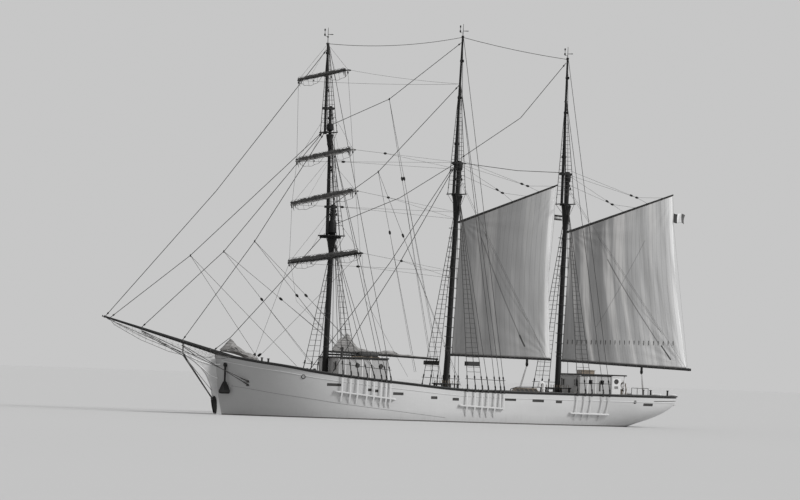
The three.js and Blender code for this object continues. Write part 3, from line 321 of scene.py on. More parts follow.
# Each finish: its full name, the record's slot that it belongs to, and how it is made.
finishRows = {
    "hull": ("hull_white", "hull_paint", hullPaint),
    "stem": ("stem_white", "keel_paint", plainPaint(0.62, 0.42, 0.4, 1.3)),
    "rail": ("rail_black", "rail_paint", plainPaint(0.022, 0.010)),
    "deck": ("deck_planks", "deck_wood", plankDeck),
    "spar": ("spar_black", "spar_paint", plainPaint(0.014, 0.006, 0.65, 2.5), 0.25),
    "sail": ("main_sailcloth", "sail_cloth", sailCloth(mainPaintedLight, mainCreaseShadows, 0.13)),
    "mizzenSail": ("mizzen_sailcloth", "sail_cloth", sailCloth(mizzenPaintedLight, mizzenCreaseShadows, 0.38)),
    "bundle": ("furled_cloth", "sail_cloth", bundledCloth(0.085, 0.025)),
    "heap": ("lowered_cloth", "sail_cloth", bundledCloth(0.42, 0.10)),
    "houseDark": ("house_dark", "house_paint", plainPaint(0.16, 0.07)),
    "houseLight": ("house_light", "house_paint", plainPaint(0.46, 0.36)),
    "strap": ("strap_white", "hull_paint", plainPaint(0.60, 0.50)),
    "white": ("white_paint", "roof_paint", plainPaint(0.80, 0.62, 0.45)),
    "varnish": ("varnished_wood", "varnished_wood", grainedWood(0.22, 0.09, 0.25, 0.6)),
    "bare": ("bare_wood", "deck_wood", grainedWood(0.40, 0.24, 0.6, 0.0)),
    "iron": ("black_iron", "galvanised_steel", wornMetal(0.06, 0.03, 0.25, 0.5)),
    "brass": ("weathered_brass", "bronze", wornMetal(0.22, 0.14, 0.1, 0.4)),
    "wire": ("tarred_wire", "rigging_wire", ropeLay(0.045, 0.020)),
    "rope": ("running_rope", "rigging_wire", ropeLay(0.22, 0.12)),
    # tarred rope, and also the painted shade that closes ports, holes and the vent mouth
    "dark": ("tarred_rope", "rigging_wire", ropeLay(0.06, 0.03)),
    "bottom": ("bottom_paint", "bottom_paint", plainPaint(0.14, 0.07, 0.6, 2.0, 0.25)),
    "bronze": ("cast_bronze", "bronze", wornMetal(0.42, 0.24, 0.1, 0.35)),
    "glass": ("window_glass", None, windowGlass, 0.3),
    "flag": ("striped_flag", "sail_cloth", stripedCloth),
    "rubber": ("fender_rubber", None, plainPaint(0.05, 0.025, 0.7, 6.0)),
}
finishes = {key: newFinish(name, build, **({"Specular_IOR_Level": level[0]} if level else {}))
            for key, (name, _, build, *level) in finishRows.items()}
print("finishes made:", len(finishes))

nodeFinish = {
    "hull": "hull", "bulwarks": "hull", "rail_cap": "rail", "keel_and_stem": "stem", "deck_planking": "deck",
    "bowsprit_bitts": "rail", "pinrail_bitts": "rail", "fore_house_walls": "houseLight",
    "aft_house_walls": "houseLight", "fore_house_roof": "white", "aft_house_roof": "white",
    "main_hatch": "white",
    "cowl_vent": "white", "fore_house_door": "varnish", "aft_house_door": "varnish", "skylight": "varnish",
    "wheel_stand": "varnish", "steering_wheel": "varnish", "windlass": "iron", "anchor_port": "iron",
    "anchor_starboard": "iron", "rudder": "bottom", "propeller": "bronze", "bobstay": "wire",
}
for name, node in nodes.items():
    key = nodeFinish.get(name, "wire" if "stay" in name and "boom" not in name else "spar")
    if "sail" in name and "boom" not in name and "stay" not in name[-4:]:
        key = "heap"
    if name.startswith("furled"):
        key = "bundle"
    node.data.materials.clear()
    node.data.materials.append(finishes[key])


# Many small forms gathered into one mesh. Each keeps its finish and has lengthwise and crosswise metres.
class Kit:
    def __init__(self):
        self.points, self.faces, self.numbers, self.metres, self.keys, self.count = [], [], [], [], [], 0

    def add(self, points, faces, finish, metres):
        if finish not in self.keys:
            self.keys.append(finish)
        self.points.append(points)
        self.metres.append(np.asarray(metres, float).reshape(-1, 2))
        self.faces += [[self.count + n for n in face] for face in faces]
        self.numbers += [self.keys.index(finish)] * len(faces)
        self.count += len(points)

    # A skin through rings of equal length, with lids on its open ends; closed False makes an open sheet.
    def rings(self, rings, finish, closed=True, joined=False, metres=None):
        rings = np.asarray(rings, float)
        many, sides = rings.shape[:2]
        faces = []
        for i in range(many if joined else many - 1):
            a, b = i * sides, ((i + 1) % many) * sides
            for j in range(sides if closed else sides - 1):
                k = (j + 1) % sides
                faces.append((a + j, a + k, b + k, b + j))
        if closed and not joined:
            faces.append(tuple(reversed(range(sides))))
            faces.append(tuple(range((many - 1) * sides, many * sides)))
        if metres is None:
            steps = np.linalg.norm(np.diff(rings.mean(1), axis=0), axis=1)
            length = np.concatenate([[0], np.cumsum(steps)])
            metres = np.stack(np.broadcast_arrays(length[:, None], np.linspace(0, 1, sides)[None, :]), -1)
        self.add(rings.reshape(-1, 3), faces, finish, metres)

    def tube(self, path, radius, finish, sides=6, joined=False):
        path = np.asarray(path, float)
        radii = np.broadcast_to(np.asarray(radius, float), len(path))
        tangents = np.roll(path, -1, 0) - np.roll(path, 1, 0) if joined else np.gradient(path, axis=0)
        tangents /= np.linalg.norm(tangents, axis=1)[:, None]
        normal = np.cross(tangents[0], (0, 0, 1) if abs(tangents[0][2]) < 0.9 else (1, 0, 0))
        turns = np.linspace(0, 2 * pi, sides, endpoint=False)
        rings = []
        for point, tangent, r in zip(path, tangents, radii):
            normal = normal - tangent * (normal @ tangent)
            normal /= np.linalg.norm(normal)
            side = np.cross(tangent, normal)
            rings.append(point + r * (np.cos(turns)[:, None] * normal + np.sin(turns)[:, None] * side))
        self.rings(rings, finish, joined=joined)

    # Closed loop of rope or bar: spot gives each point from the cosine and sine of its angle.
    def loop(self, count, spot, radius, finish, sides=4):
        self.tube([spot(cos(a), sin(a)) for a in np.linspace(0, 2 * pi, count + 1)[:-1]], radius, finish,
                  sides, True)

    def hoop(self, at, axis, radius, thick, finish):
        axis = Vector(axis).normalized()
        first = axis.orthogonal().normalized()
        second = axis.cross(first)
        self.loop(20, lambda c, s: tuple(Vector(at) + (first * c + second * s) * radius), thick, finish, 6)

    # Turned form: rows of (distance along the axis, radius).
    def turned(self, rows, origin, axis, finish, sides=16):
        axis = Vector(axis).normalized()
        first = axis.orthogonal().normalized()
        second = axis.cross(first)
        turns = [2 * pi * n / sides for n in range(sides)]
        self.rings([[Vector(origin) + axis * h + (first * cos(a) + second * sin(a)) * max(r, 0.0005)
                     for a in turns] for h, r in rows], finish)

    # Band round a spar: half its length, the spar's radius and its own thickness.
    def band(self, at, axis, half, radius, thick, finish="iron", sides=20, ease=0.0):
        outer = radius + thick
        self.turned([(-half, radius), (ease - half, outer), (half - ease, outer), (half, radius)], at, axis,
                    finish,
                    sides)

    # Block with eased edges, turned about Z by an angle or set along three given directions.
    def slab(self, middle, size, finish, ease=0.01, turn=0.0, axes=None):
        if axes is None:
            c, s = cos(turn), sin(turn)
            axes = ((c, s, 0), (-s, c, 0), (0, 0, 1))
        u, v, n = (np.array(a, float) / np.linalg.norm(a) for a in axes)
        a, b, h = (d / 2 for d in size)
        e = min(ease, a * 0.45, b * 0.45, h * 0.45)
        rings = []
        for z, inset in ((-h, e), (-h + e, 0), (h - e, 0), (h, e)):
            p, q = a - inset, b - inset
            corners = [(p, -q + e), (p, q - e), (p - e, q), (-p + e, q), (-p, q - e), (-p, -q + e),
                       (-p + e, -q),
                       (p - e, -q)]
            rings.append([np.array(middle) + u * i + v * j + n * z for i, j in corners])
        self.rings(rings, finish)

    # Rigging block, at a point on a rope that runs along a direction.
    def pulley(self, at, along, size=0.16, finish="spar"):
        rows = [(-0.5, 0.08), (-0.42, 0.20), (-0.2, 0.28), (0.1, 0.28), (0.35, 0.20), (0.5, 0.06)]
        self.turned([(h * size, r * size) for h, r in rows], at, along, finish, 8)

    def make(self, name, body="hull", slot=None, replaces=(), blend=None, sharp=35):
        mesh = bpy.data.meshes.new(name)
        mesh.from_pydata(np.concatenate(self.points).tolist(), [], self.faces)
        metres = np.concatenate(self.metres)
        corner = np.zeros(len(mesh.loops), int)
        mesh.loops.foreach_get("vertex_index", corner)
        mesh.uv_layers.new(name="metres").data.foreach_set("uv", metres[corner].astype(np.float32).ravel())
        for key in self.keys:
            mesh.materials.append(finishes[key])
        mesh.polygons.foreach_set("material_index", self.numbers)
        mesh.polygons.foreach_set("use_smooth", [True] * len(mesh.polygons))
        mesh.update()
        mesh.validate()
        shape = bmesh.new()
        shape.from_mesh(mesh)
        bmesh.ops.recalc_face_normals(shape, faces=shape.faces)
        shape.to_mesh(mesh)
        shape.free()
        mesh.set_sharp_from_angle(angle=radians(sharp))
        piece = bpy.data.objects.new(name, mesh)
        scene.collection.objects.link(piece)
        if blend:
            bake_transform(piece)
        else:
            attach(piece, body)
        slot = slot or finishRows[self.keys[0]][1]
        if replaces:
            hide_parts(*replaces)
        return piece


def lerp(a, b, t):
    return tuple(p + (q - p) * t for p, q in zip(a, b))


def smooth(low, high, x):
    t = min(max((x - low) / (high - low), 0), 1)
    return t * t * (3 - 2 * t)


def sagging(a, b, drop, steps=14):
    return [tuple(np.array(lerp(a, b, t)) - np.array((0, 0, 4 * drop * t * (1 - t))))
            for t in np.linspace(0, 1, steps)]


# Hull lines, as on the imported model: from the bow aft, one curve a station from the bottom up to the rail,
# in mm.
hullColumns = ("x", "bottom", "bilgeY", "bilgeZ", "sideY", "sideZ", "railY", "railZ")
hullSections = np.array([
    (14560, 1000, 40, 1500, 60, 2900, 130, 3780), (14300, -200, 120, 600, 150, 2300, 560, 3710),
    (13600, -1450, 250, -500, 520, 1300, 1370, 3550), (12500, -1980, 450, -1500, 1300, 600, 2150, 3360),
    (11000, -2120, 850, -2000, 2150, -100, 2800, 3160), (9000, -2180, 1600, -2150, 3000, -500, 3240, 2860),
    (6000, -2230, 2500, -2220, 3500, -800, 3480, 2560), (3000, -2280, 2900, -2260, 3700, -900, 3550, 2320),
    (0, -2330, 2950, -2300, 3720, -900, 3560, 2100), (-3000, -2380, 2800, -2300, 3650, -850, 3540, 2035),
    (-6000, -2430, 2100, -2150, 3550, -700, 3450, 2040), (-8500, -2480, 1000, -1800, 3200, -500, 3280, 2045),
    (-10500, -1500, 500, -1000, 2700, -150, 3020, 2048), (-12000, -520, 1000, -350, 2500, 250, 2740, 2050),
    (-13150, 45, 1300, 120, 2350, 500, 2480, 2051), (-14500, 500, 1250, 560, 1980, 850, 2080, 2052),
    (-15500, 900, 900, 980, 1450, 1200, 1580, 2054), (-16150, 1330, 500, 1360, 850, 1460, 1000, 2055),
    (-16480, 1640, 100, 1680, 180, 1740, 230, 2056),
], float) / 1000
hullBuild = {"stations": 190, "steps": 34, "bulwarkThick": 0.08, "stemX": 14.555, "sternX": -16.478,
             "portHigh": 0.17}
# Freeing ports along each side: x of the middle, length, and drop below the waterway.
freeingPorts = (
    (8.06, 0.88, 0.06), (5.86, 0.34, 0.12), (5.43, 0.34, 0.14), (3.96, 0.68, 0.19), (1.60, 0.42, 0.23),
    (0.17, 0.42, 0.20), (-3.49, 0.80, 0.03), (-5.41, 0.79, 0.06), (-6.86, 0.43, 0.09), (-13.55, 0.76, 0.11))


def lineAt(name, x):
    column = hullColumns.index(name)
    rows = hullSections
    i = next((n for n in range(1, len(rows)) if x >= rows[n][0]), len(rows) - 1)
    a, b = rows[i - 1], rows[i]

    def slope(n):
        low, high = rows[max(n - 1, 0)], rows[min(n + 1, len(rows) - 1)]
        return (high[column] - low[column]) / (high[0] - low[0])

    span = b[0] - a[0]
    t = min(max((x - a[0]) / span, 0), 1)
    return ((2 * t**3 - 3 * t**2 + 1) * a[column] + (t**3 - 2 * t**2 + t) * span * slope(i - 1)
            + (3 * t**2 - 2 * t**3) * b[column] + (t**3 - t**2) * span * slope(i))


def sectionPoint(x, t):
    corners = [(0, lineAt("bottom", x))] + [
        (lineAt(a, x), lineAt(b, x)) for a, b in (("bilgeY", "bilgeZ"), ("sideY", "sideZ"), ("railY", "railZ"))]
    weights = ((1 - t)**3, 3 * t * (1 - t)**2, 3 * t * t * (1 - t), t**3)
    return tuple(sum(w * c[k] for w, c in zip(weights, corners)) for k in (0, 1))


# How far up its section a height lies, by halving.
def reach(x, z):
    low, high = 0.0, 1.0
    for _ in range(26):
        middle = (low + high) / 2
        if sectionPoint(x, middle)[1] < z:
            low = middle
        else:
            high = middle
    return (low + high) / 2


def halfBreadth(x, z):
    return sectionPoint(x, reach(x, z))[0]


def railZ(x):
    return lineAt("railZ", x)


def deckZ(x):
    return railZ(x) - (0.6 + 0.15 * smooth(0, 8, x))


# A place on the ship's side, moved out from the planking, and the direction that the planking faces there.
def onSide(x, z, side, out=0.0):
    return (x, side * (halfBreadth(x, z) + out), z)


def planking(x, z, side):
    ahead = (halfBreadth(x + 0.05, z) - halfBreadth(x - 0.05, z)) / 0.1
    up = (halfBreadth(x, z + 0.05) - halfBreadth(x, z - 0.05)) / 0.1
    return (-ahead, side, -up)


def cosineSteps(first, last, count):
    return [first + (last - first) * (1 - cos(pi * n / count)) / 2 for n in range(count + 1)]


def carve(piece, kit):
    mesh = bpy.data.meshes.new("cutter")
    mesh.from_pydata(np.concatenate(kit.points).tolist(), [], kit.faces)
    cutter = bpy.data.objects.new("cutter", mesh)
    scene.collection.objects.link(cutter)
    modifier = piece.modifiers.new("carve", "BOOLEAN")
    modifier.operation, modifier.object, modifier.solver = "DIFFERENCE", cutter, "EXACT"
    evaluated = piece.evaluated_get(bpy.context.evaluated_depsgraph_get())
    cut = bpy.data.meshes.new_from_object(evaluated)
    piece.modifiers.clear()
    old, piece.data = piece.data, cut
    cut.name = old.name + "_cut"
    bpy.data.objects.remove(cutter)


# Dark flaps that close the freeing ports part way through the planking: flaps as real ports have, dark as
# painted shade seen through the ports.
def makePortShadeFlaps():
    kit = Kit()
    thick = hullBuild["bulwarkThick"]
    for x, long, drop in freeingPorts:
        low = deckZ(x) + 0.005 - drop
        high = low + hullBuild["portHigh"] + 0.03
        for side in (1, -1):
            kit.rings([[onSide(station, z, side, -thick * inset)
                        for inset, z in ((0.35, low), (0.35, high), (0.75, high), (0.75, low))]
                       for station in np.linspace(x - long / 2 - 0.015, x + long / 2 + 0.015, 5)], "dark")
    kit.make("port_flaps", slot="rail_paint")


# The hull's planking and bulwarks in one skin, from the garboard to the rail and down inside to the deck.
def makeHull():
    thick, steps = hullBuild["bulwarkThick"], hullBuild["steps"]
    rings, metres = [], []
    for x in cosineSteps(hullBuild["stemX"], hullBuild["sternX"], hullBuild["stations"]):
        top = reach(x, railZ(x) - 0.04)
        side = [sectionPoint(x, top * n / steps) for n in range(1, steps + 1)]
        girth = np.concatenate([[0], np.cumsum([dist(p, q) for p, q in zip(side, side[1:])])])
        y, z = side[-1]
        foot = deckZ(x) - 0.05
        profile = side + [(max(y - thick, y * 0.4), z), (max(halfBreadth(x, foot) - thick, 0.3 * y), foot)]
        depth = list(girth[-1] - girth) + [0.1, 0.6]
        ring = [(x, 0, lineAt("bottom", x))] + [(x, p, q) for p, q in profile] + [
            (x, -p, q) for p, q in profile[::-1]]
        rings.append(ring[::-1])
        metres.append(([(x, girth[-1] + 0.1)] + [(x, d) for d in depth]
                       + [(x, d) for d in depth[::-1]])[::-1])
    kit = Kit()
    kit.rings(rings, "hull", metres=np.array(metres))
    skin = kit.make("hull_skin", replaces=("hull", "bulwarks"), sharp=50)
    ports = Kit()
    for x, long, drop in freeingPorts:
        high = hullBuild["portHigh"]
        ports.slab((x, 0, deckZ(x) + 0.02 - drop + high / 2), (long, 8.6, high), "hull", 0.02)
    carve(skin, ports)
    makePortShadeFlaps()
    sprit = Kit()
    sprit.tube([(12.0, 0, 3.09), (16.0, 0, 4.155)], (0.19, 0.172), "hull", 24)
    carve(skin, sprit)
    skin.data.set_sharp_from_angle(angle=radians(50))


makeHull()
print("hull planked")


# A line that follows the ship's side round the stern from one bow to the other, and its outward direction.
def sideLine(height, startX, count=150):
    port = [(x, halfBreadth(x, height(x)), height(x))
            for x in cosineSteps(startX, hullBuild["sternX"] - 0.001, count)]
    line = port + [(x, -y, z) for x, y, z in reversed(port)]
    run = np.gradient(np.array(line)[:, :2], axis=0)
    run /= np.linalg.norm(run, axis=1)[:, None]
    return list(zip(line, np.stack([run[:, 1], -run[:, 0]], 1)))


def roundedProfile(inner, outer, low, high, ease):
    profile = []
    for quarter, (o, z) in enumerate(((outer, low), (outer, high), (inner, high), (inner, low))):
        o += ease if quarter > 1 else -ease
        z += ease if quarter in (0, 3) else -ease
        for step in (0, 1, 2):
            angle = radians(90 * quarter - 90 + 45 * step)
            profile.append((o + ease * cos(angle), z + ease * sin(angle)))
    return profile


def sweep(kit, line, profile, finish):
    kit.rings([[(x + n[0] * o, y + n[1] * o, z + up) for o, up in profile] for (x, y, z), n in line], finish)


# Rail cap, mouldings outside, covering board and stanchions inside. Mouldings: drop below the rail, half
# height and finish. The seam of the sheer planking runs low on the bow and down to the water amidships.
rails = {"inner": -0.16, "outer": 0.08, "thick": 0.08, "startX": 14.42, "stanchionEvery": 0.82}
mouldings = ((0.45, 0.022, "stem"), (0.13, 0.02, "rail"))
sheerSeam = np.array([(13.7, 1.77), (11.38, 1.40), (7.47, 0.91), (3.83, 0.56), (0.8, 0.27)])
sternHole = {"x": -12.5, "z": 1.59, "rim": ((-0.03, 0.075), (0.014, 0.075), (0.02, 0.09), (0.014, 0.105),
                                            (0.0, 0.11)),
             "shadeDisc": ((-0.02, 0.078), (0.008, 0.078), (0.008, 0.0))}


def makeRails():
    cap = Kit()
    sweep(cap, sideLine(railZ, rails["startX"]),
          roundedProfile(rails["inner"], rails["outer"], -rails["thick"], 0, 0.03), "rail")
    cap.make("rail_cap_rounded", replaces=("rail_cap",))
    trim = Kit()
    for drop, half, finish in mouldings:
        sweep(trim, sideLine(lambda x: railZ(x) - drop, 14.3),
              roundedProfile(-0.02, half, -half, half, half * 0.6),
              finish)
    xs = np.linspace(13.7, 0.8, 40)
    seam = list(zip(xs, np.interp(-xs, -sheerSeam[:, 0], sheerSeam[:, 1])))
    counter = list(zip(np.linspace(-14.0, -16.2, 14), np.linspace(1.67, 1.73, 14)))
    # the seam of the sheer strake as a thin dark line: a real seam, its dark tone a painted shadow under the
    # strake edge
    for side in (1, -1):
        trim.tube([onSide(x, z, side, 0.001) for x, z in seam], 0.009, "houseDark", 5)
    # dark moulding under the rail of the counter, and the round hole ahead of it, closed by a dark disc:
    # painted shade in the hole
    for side in (1, -1):
        trim.tube([onSide(x, z, side, 0.004) for x, z in counter], 0.018, "dark")
        x, z = sternHole["x"], sternHole["z"]
        for part, finish in (("rim", "iron"), ("shadeDisc", "dark")):
            trim.turned(sternHole[part], onSide(x, z, side), planking(x, z, side), finish, 20)
    sweep(trim, sideLine(lambda x: deckZ(x) + 0.01, 13.5), roundedProfile(-0.32, -0.085, -0.01, 0.03, 0.008),
          "stem")
    for x in np.arange(-15.2, 13.2, rails["stanchionEvery"]):
        if min(abs(x - at) - long / 2 for at, long, _ in freeingPorts) > 0.07:
            for side in (1, -1):
                foot, head = onSide(x, deckZ(x) + 0.03, side, -0.15), onSide(x, railZ(x) - 0.085, side, -0.13)
                run = np.array(head) - np.array(foot)
                long = np.linalg.norm(run)
                across = np.cross(run / long, (1, 0, 0))
                trim.slab(lerp(foot, head, 0.5), (0.09, 0.12, long), "stem", 0.008,
                          axes=((1, 0, 0), across, run))
    trim.make("hull_trim", slot="hull_paint")


makeRails()

# Masts on the centreline: x and z of the foot and of the head, and the two radii.
masts = {
    "foreLower": ((7.450, 1.90), (7.262, 13.10), (0.190, 0.150)),
    "foreTop": ((7.600, 11.20), (7.680, 19.15), (0.105, 0.088)),
    "foreTopgallant": ((7.990, 17.50), (8.010, 24.60), (0.075, 0.022)),
    "mainLower": ((-0.605, 1.30), (-1.052, 16.25), (0.180, 0.140)),
    "mainTop": ((-0.715, 14.15), (-1.010, 24.82), (0.088, 0.022)),
    "mizzenLower": ((-8.240, 1.25), (-8.509, 15.96), (0.175, 0.135)),
    "mizzenTop": ((-8.150, 13.90), (-8.235, 23.87), (0.088, 0.022)),
}


def mastAt(name, z):
    (x0, z0), (x1, z1), (r0, r1) = masts[name]
    t = (z - z0) / (z1 - z0)
    return x0 + (x1 - x0) * t, r0 + (r1 - r0) * t


# Shrouds and backstays, from a collar on the mast to the rail or to a top. Ratlines cross the first wires.
# turn: degrees abaft the beam of the foremost wire; rattled: how many are rattled down; plates: long
# chainplates; perches: places on a top that the first wires stand on.
ropeSizes = {"shroud": 0.019, "backstay": 0.016, "ratline": 0.012, "stay": 0.021, "apart": 0.028,
             "triatic": 0.018}
gangColumns = ("mast", "z", "wall", "turn", "perches", "feet", "rattled", "every", "plates")
shroudGangs = [dict(zip(gangColumns, row)) for row in (
    ("foreLower", 10.90, 0.036, 42, (), (7.58, 7.06, 6.61, 6.02, 5.57), 3, 0.335, 5),
    ("foreTop", 17.25, 0.036, 30, ((7.38, 0.80, 11.2), (7.10, 0.80, 11.2), (6.80, 0.80, 11.2)), (5.11, 4.78),
     3, 0.30, 2),
    ("foreTopgallant", 22.98, 0.070, 20, ((8.06, 0.60, 17.55), (7.43, 0.60, 17.55)), (4.50,), 2, 0.27, 1),
    ("mainLower", 13.90, 0.036, 20, (), (-0.55, -1.08, -1.55, -1.95), 3, 0.30, 4),
    ("mainTop", 20.95, 0.050, 0, ((-0.60, 0.65, 14.2), (-1.25, 0.65, 14.2)), (-2.42, -2.78), 2, 0.26, 1),
    ("mainTop", 23.98, 0.050, 40, (), (-3.03,), 0, 0, 0),
    ("mizzenLower", 13.65, 0.036, 20, (), (-8.11, -8.66, -9.14), 3, 0.28, 3),
    ("mizzenTop", 20.40, 0.050, 0, ((-8.06, 0.65, 13.95), (-8.72, 0.65, 13.95)), (-9.97,), 2, 0.26, 1),
    ("mizzenTop", 23.08, 0.050, 40, (), (-10.45,), 0, 0, 0),
)]
# Futtock shrouds run in from under each perch of a gang: the gang, the mast and the height there.
futtockGangs = ((1, "foreLower", 9.95), (4, "mainLower", 13.2), (7, "mizzenLower", 13.0))
channelRows = ((8.074, 4.112, 1.665, 1.288), (-0.012, -3.066, 1.05, 0.93), (-7.656, -10.712, 0.779, 0.756))
chainPlates = {"outboard": 0.110, "above": 0.10, "half": 0.052, "thick": 0.006, "drop": 1.68}
screw = ((0, 0.02), (0.05, 0.05), (0.15, 0.05), (0.19, 0.03), (0.58, 0.03), (0.62, 0.05), (0.72, 0.05),
         (0.78, 0.02))
sheerPole = {"above": 0.62, "size": 0.018}
square = ((-1, -1), (1, -1), (1, 1), (-1, 1))


def channelEdge(x):
    x0, x1, z0, z1 = next(row for row in channelRows if row[1] - 0.1 <= x <= row[0] + 0.1)
    z = z0 + (z1 - z0) * (x - x0) / (x1 - x0)
    return halfBreadth(x, z) + 0.137, z


def chainPlate(kit, x, side, long):
    rail, (edge, z) = railZ(x), channelEdge(x)
    beside = halfBreadth(x, rail) + chainPlates["outboard"]
    turn = beside + (edge - beside) * 0.09 / (rail - z - 0.16), rail - 0.20
    run = [turn, (edge, z + 0.05), (edge, z - 0.05)]
    if long:
        low = rail - chainPlates["drop"]
        run.append((halfBreadth(x, low) + 0.018, low))
    half, thick = chainPlates["half"], chainPlates["thick"]
    for part, finish in (([(beside, rail + 0.115), (beside, rail - 0.11), turn], "rail"), (run, "strap")):
        kit.rings([[(x + a * half, side * (y + b * thick), up) for a, b in square] for y, up in part], finish)
    if long:
        for rise in (0.08, 0.24, 0.40):
            kit.turned([(-0.012, 0.016), (0.010, 0.016), (0.014, 0.008)], onSide(x, low + rise, side, 0.046),
                       (0, side, 0), "strap", 8)


def gangWires(gang, side):
    x, radius = mastAt(gang["mast"], gang["z"])
    around = radius + gang["wall"] * 0.55
    feet = [(px, side * py, pz) for px, py, pz in gang["perches"]]
    feet += [(fx, side * (halfBreadth(fx, railZ(fx)) + chainPlates["outboard"]),
              railZ(fx) + chainPlates["above"])
             for fx in gang["feet"]]
    for n, foot in enumerate(feet):
        turn = radians(gang["turn"]) + n * ropeSizes["apart"] / around
        yield foot, (x - around * sin(turn), side * around * cos(turn), gang["z"] - 0.005 * n)


def atHeight(foot, top, z):
    return lerp(foot, top, (z - foot[2]) / (top[2] - foot[2]))


def ratlines(kit, wires, low, high, every):
    for z in np.arange(low, high, every):
        line = [atHeight(foot, top, z) for foot, top in wires]
        line = [lerp(a, b, t) for a, b in zip(line, line[1:]) for t in (0, 0.5)] + [line[-1]]
        line = [(x, y, z - 0.012 * (n % 2) + random.uniform(-0.006, 0.006))
                for n, (x, y, z) in enumerate(line)]
        kit.tube(line, ropeSizes["ratline"], "dark", 4)


# Rigging screw between a shroud and its fastening; gives the place where the wire starts.
def riggingScrew(kit, foot, top, size=1.0):
    run = np.array(top) - np.array(foot)
    run /= np.linalg.norm(run)
    kit.turned([(h * size, r * size) for h, r in screw], foot, run, "spar", 8)
    return tuple(np.array(foot) + run * screw[-1][0] * size)


# Channels: planks that stand out from the ship's side and spread the shrouds.
def makeChannels():
    kit = Kit()
    for x0, x1, z0, z1 in channelRows:
        for side in (1, -1):
            rings = []
            for t in np.linspace(0, 1, 60):
                x, z = x0 + (x1 - x0) * t, z0 + (z1 - z0) * t
                y = halfBreadth(x, z)
                outer = y + 0.02 + 0.125 * min(1, (1 - abs(2 * t - 1)) * 14) ** 0.5
                rings.append([(x, side * p, z + q) for p, q in (
                    (y - 0.03, -0.05), (outer - 0.02, -0.05), (outer, -0.03), (outer, 0.03),
                    (outer - 0.02, 0.05),
                    (y - 0.03, 0.05))])
            kit.rings(rings, "strap")
    kit.make("channels", slot="hull_paint")


# One gang's wires on one side, with their screws, chainplates and ratlines; poles gathers where the sheer
# pole goes.
def rigGang(kit, gang, side, poles):
    wires = list(gangWires(gang, side))
    onTop = len(gang["perches"])
    for n, (foot, top) in enumerate(wires):
        if n >= onTop:
            start = riggingScrew(kit, foot, top)
            pole = atHeight(foot, top, railZ(foot[0]) + sheerPole["above"])
            poles.setdefault(gang["mast"][:2], []).append(pole)
            chainPlate(kit, foot[0], side, n - onTop < gang["plates"])
        else:
            start = riggingScrew(kit, foot, top, 0.6)
        kit.tube([start, top], ropeSizes["shroud" if n < gang["rattled"] else "backstay"], "wire")
    if gang["rattled"]:
        crossed = wires[:gang["rattled"]]
        low = max(foot[2] for foot, _ in crossed)
        fromDeck = low < 5
        ratlines(kit, crossed, low + (0.95 if fromDeck else 0.6), gang["z"] - (0.5 if fromDeck else 0.9),
                 gang["every"])


def makeShrouds():
    kit = Kit()
    for side in (1, -1):
        poles = {}
        for gang in shroudGangs:
            rigGang(kit, gang, side, poles)
        for line in poles.values():
            ends = [tuple(np.array(line[0]) + (0.12, 0, 0)), *line, tuple(np.array(line[-1]) - (0.12, 0, 0))]
            kit.tube(ends, sheerPole["size"], "spar")
    for gang in shroudGangs:
        (x, radius), z = mastAt(gang["mast"], gang["z"]), gang["z"]
        outer = radius + gang["wall"]
        kit.turned([(-0.05, radius), (-0.05, outer - 0.01), (-0.03, outer), (0.03, outer),
                    (0.05, outer - 0.01),
                    (0.05, radius)], (x, 0, z), (0, 0, 1), "wire", 20)
    for a, za, b, zb, sag in (("foreTopgallant", 22.98, "mainTop", 23.98, 0.30),
                              ("mainTop", 23.98, "mizzenTop", 23.08, 0.10)):
        (ax, ar), (bx, br) = mastAt(a, za), mastAt(b, zb)
        kit.tube(sagging((ax - ar - 0.02, 0, za), (bx + br + 0.02, 0, zb), sag, 24), ropeSizes["triatic"],
                 "wire")
    kit.make("shrouds_and_backstays", slot="rigging_wire", replaces=("shrouds",))
    futtocks = Kit()
    for side in (1, -1):
        rows = [(perch, mast, low) for n, mast, low in futtockGangs for perch in shroudGangs[n]["perches"]]
        for (x, y, z), mast, low in (*rows, ((7.43, 0.60, 17.55), "foreTop", 16.75)):
            mastX, radius = mastAt(mast, low)
            turn = radians(40 if x > mastX - 0.2 else 70)
            end = (mastX - radius * sin(turn), side * radius * cos(turn), low)
            futtocks.tube([(x, side * y, z - 0.06), end], 0.012, "wire", 5)
    futtocks.make("futtock_shrouds", slot="rigging_wire")


makeChannels()
makeShrouds()
print("shrouds set up")

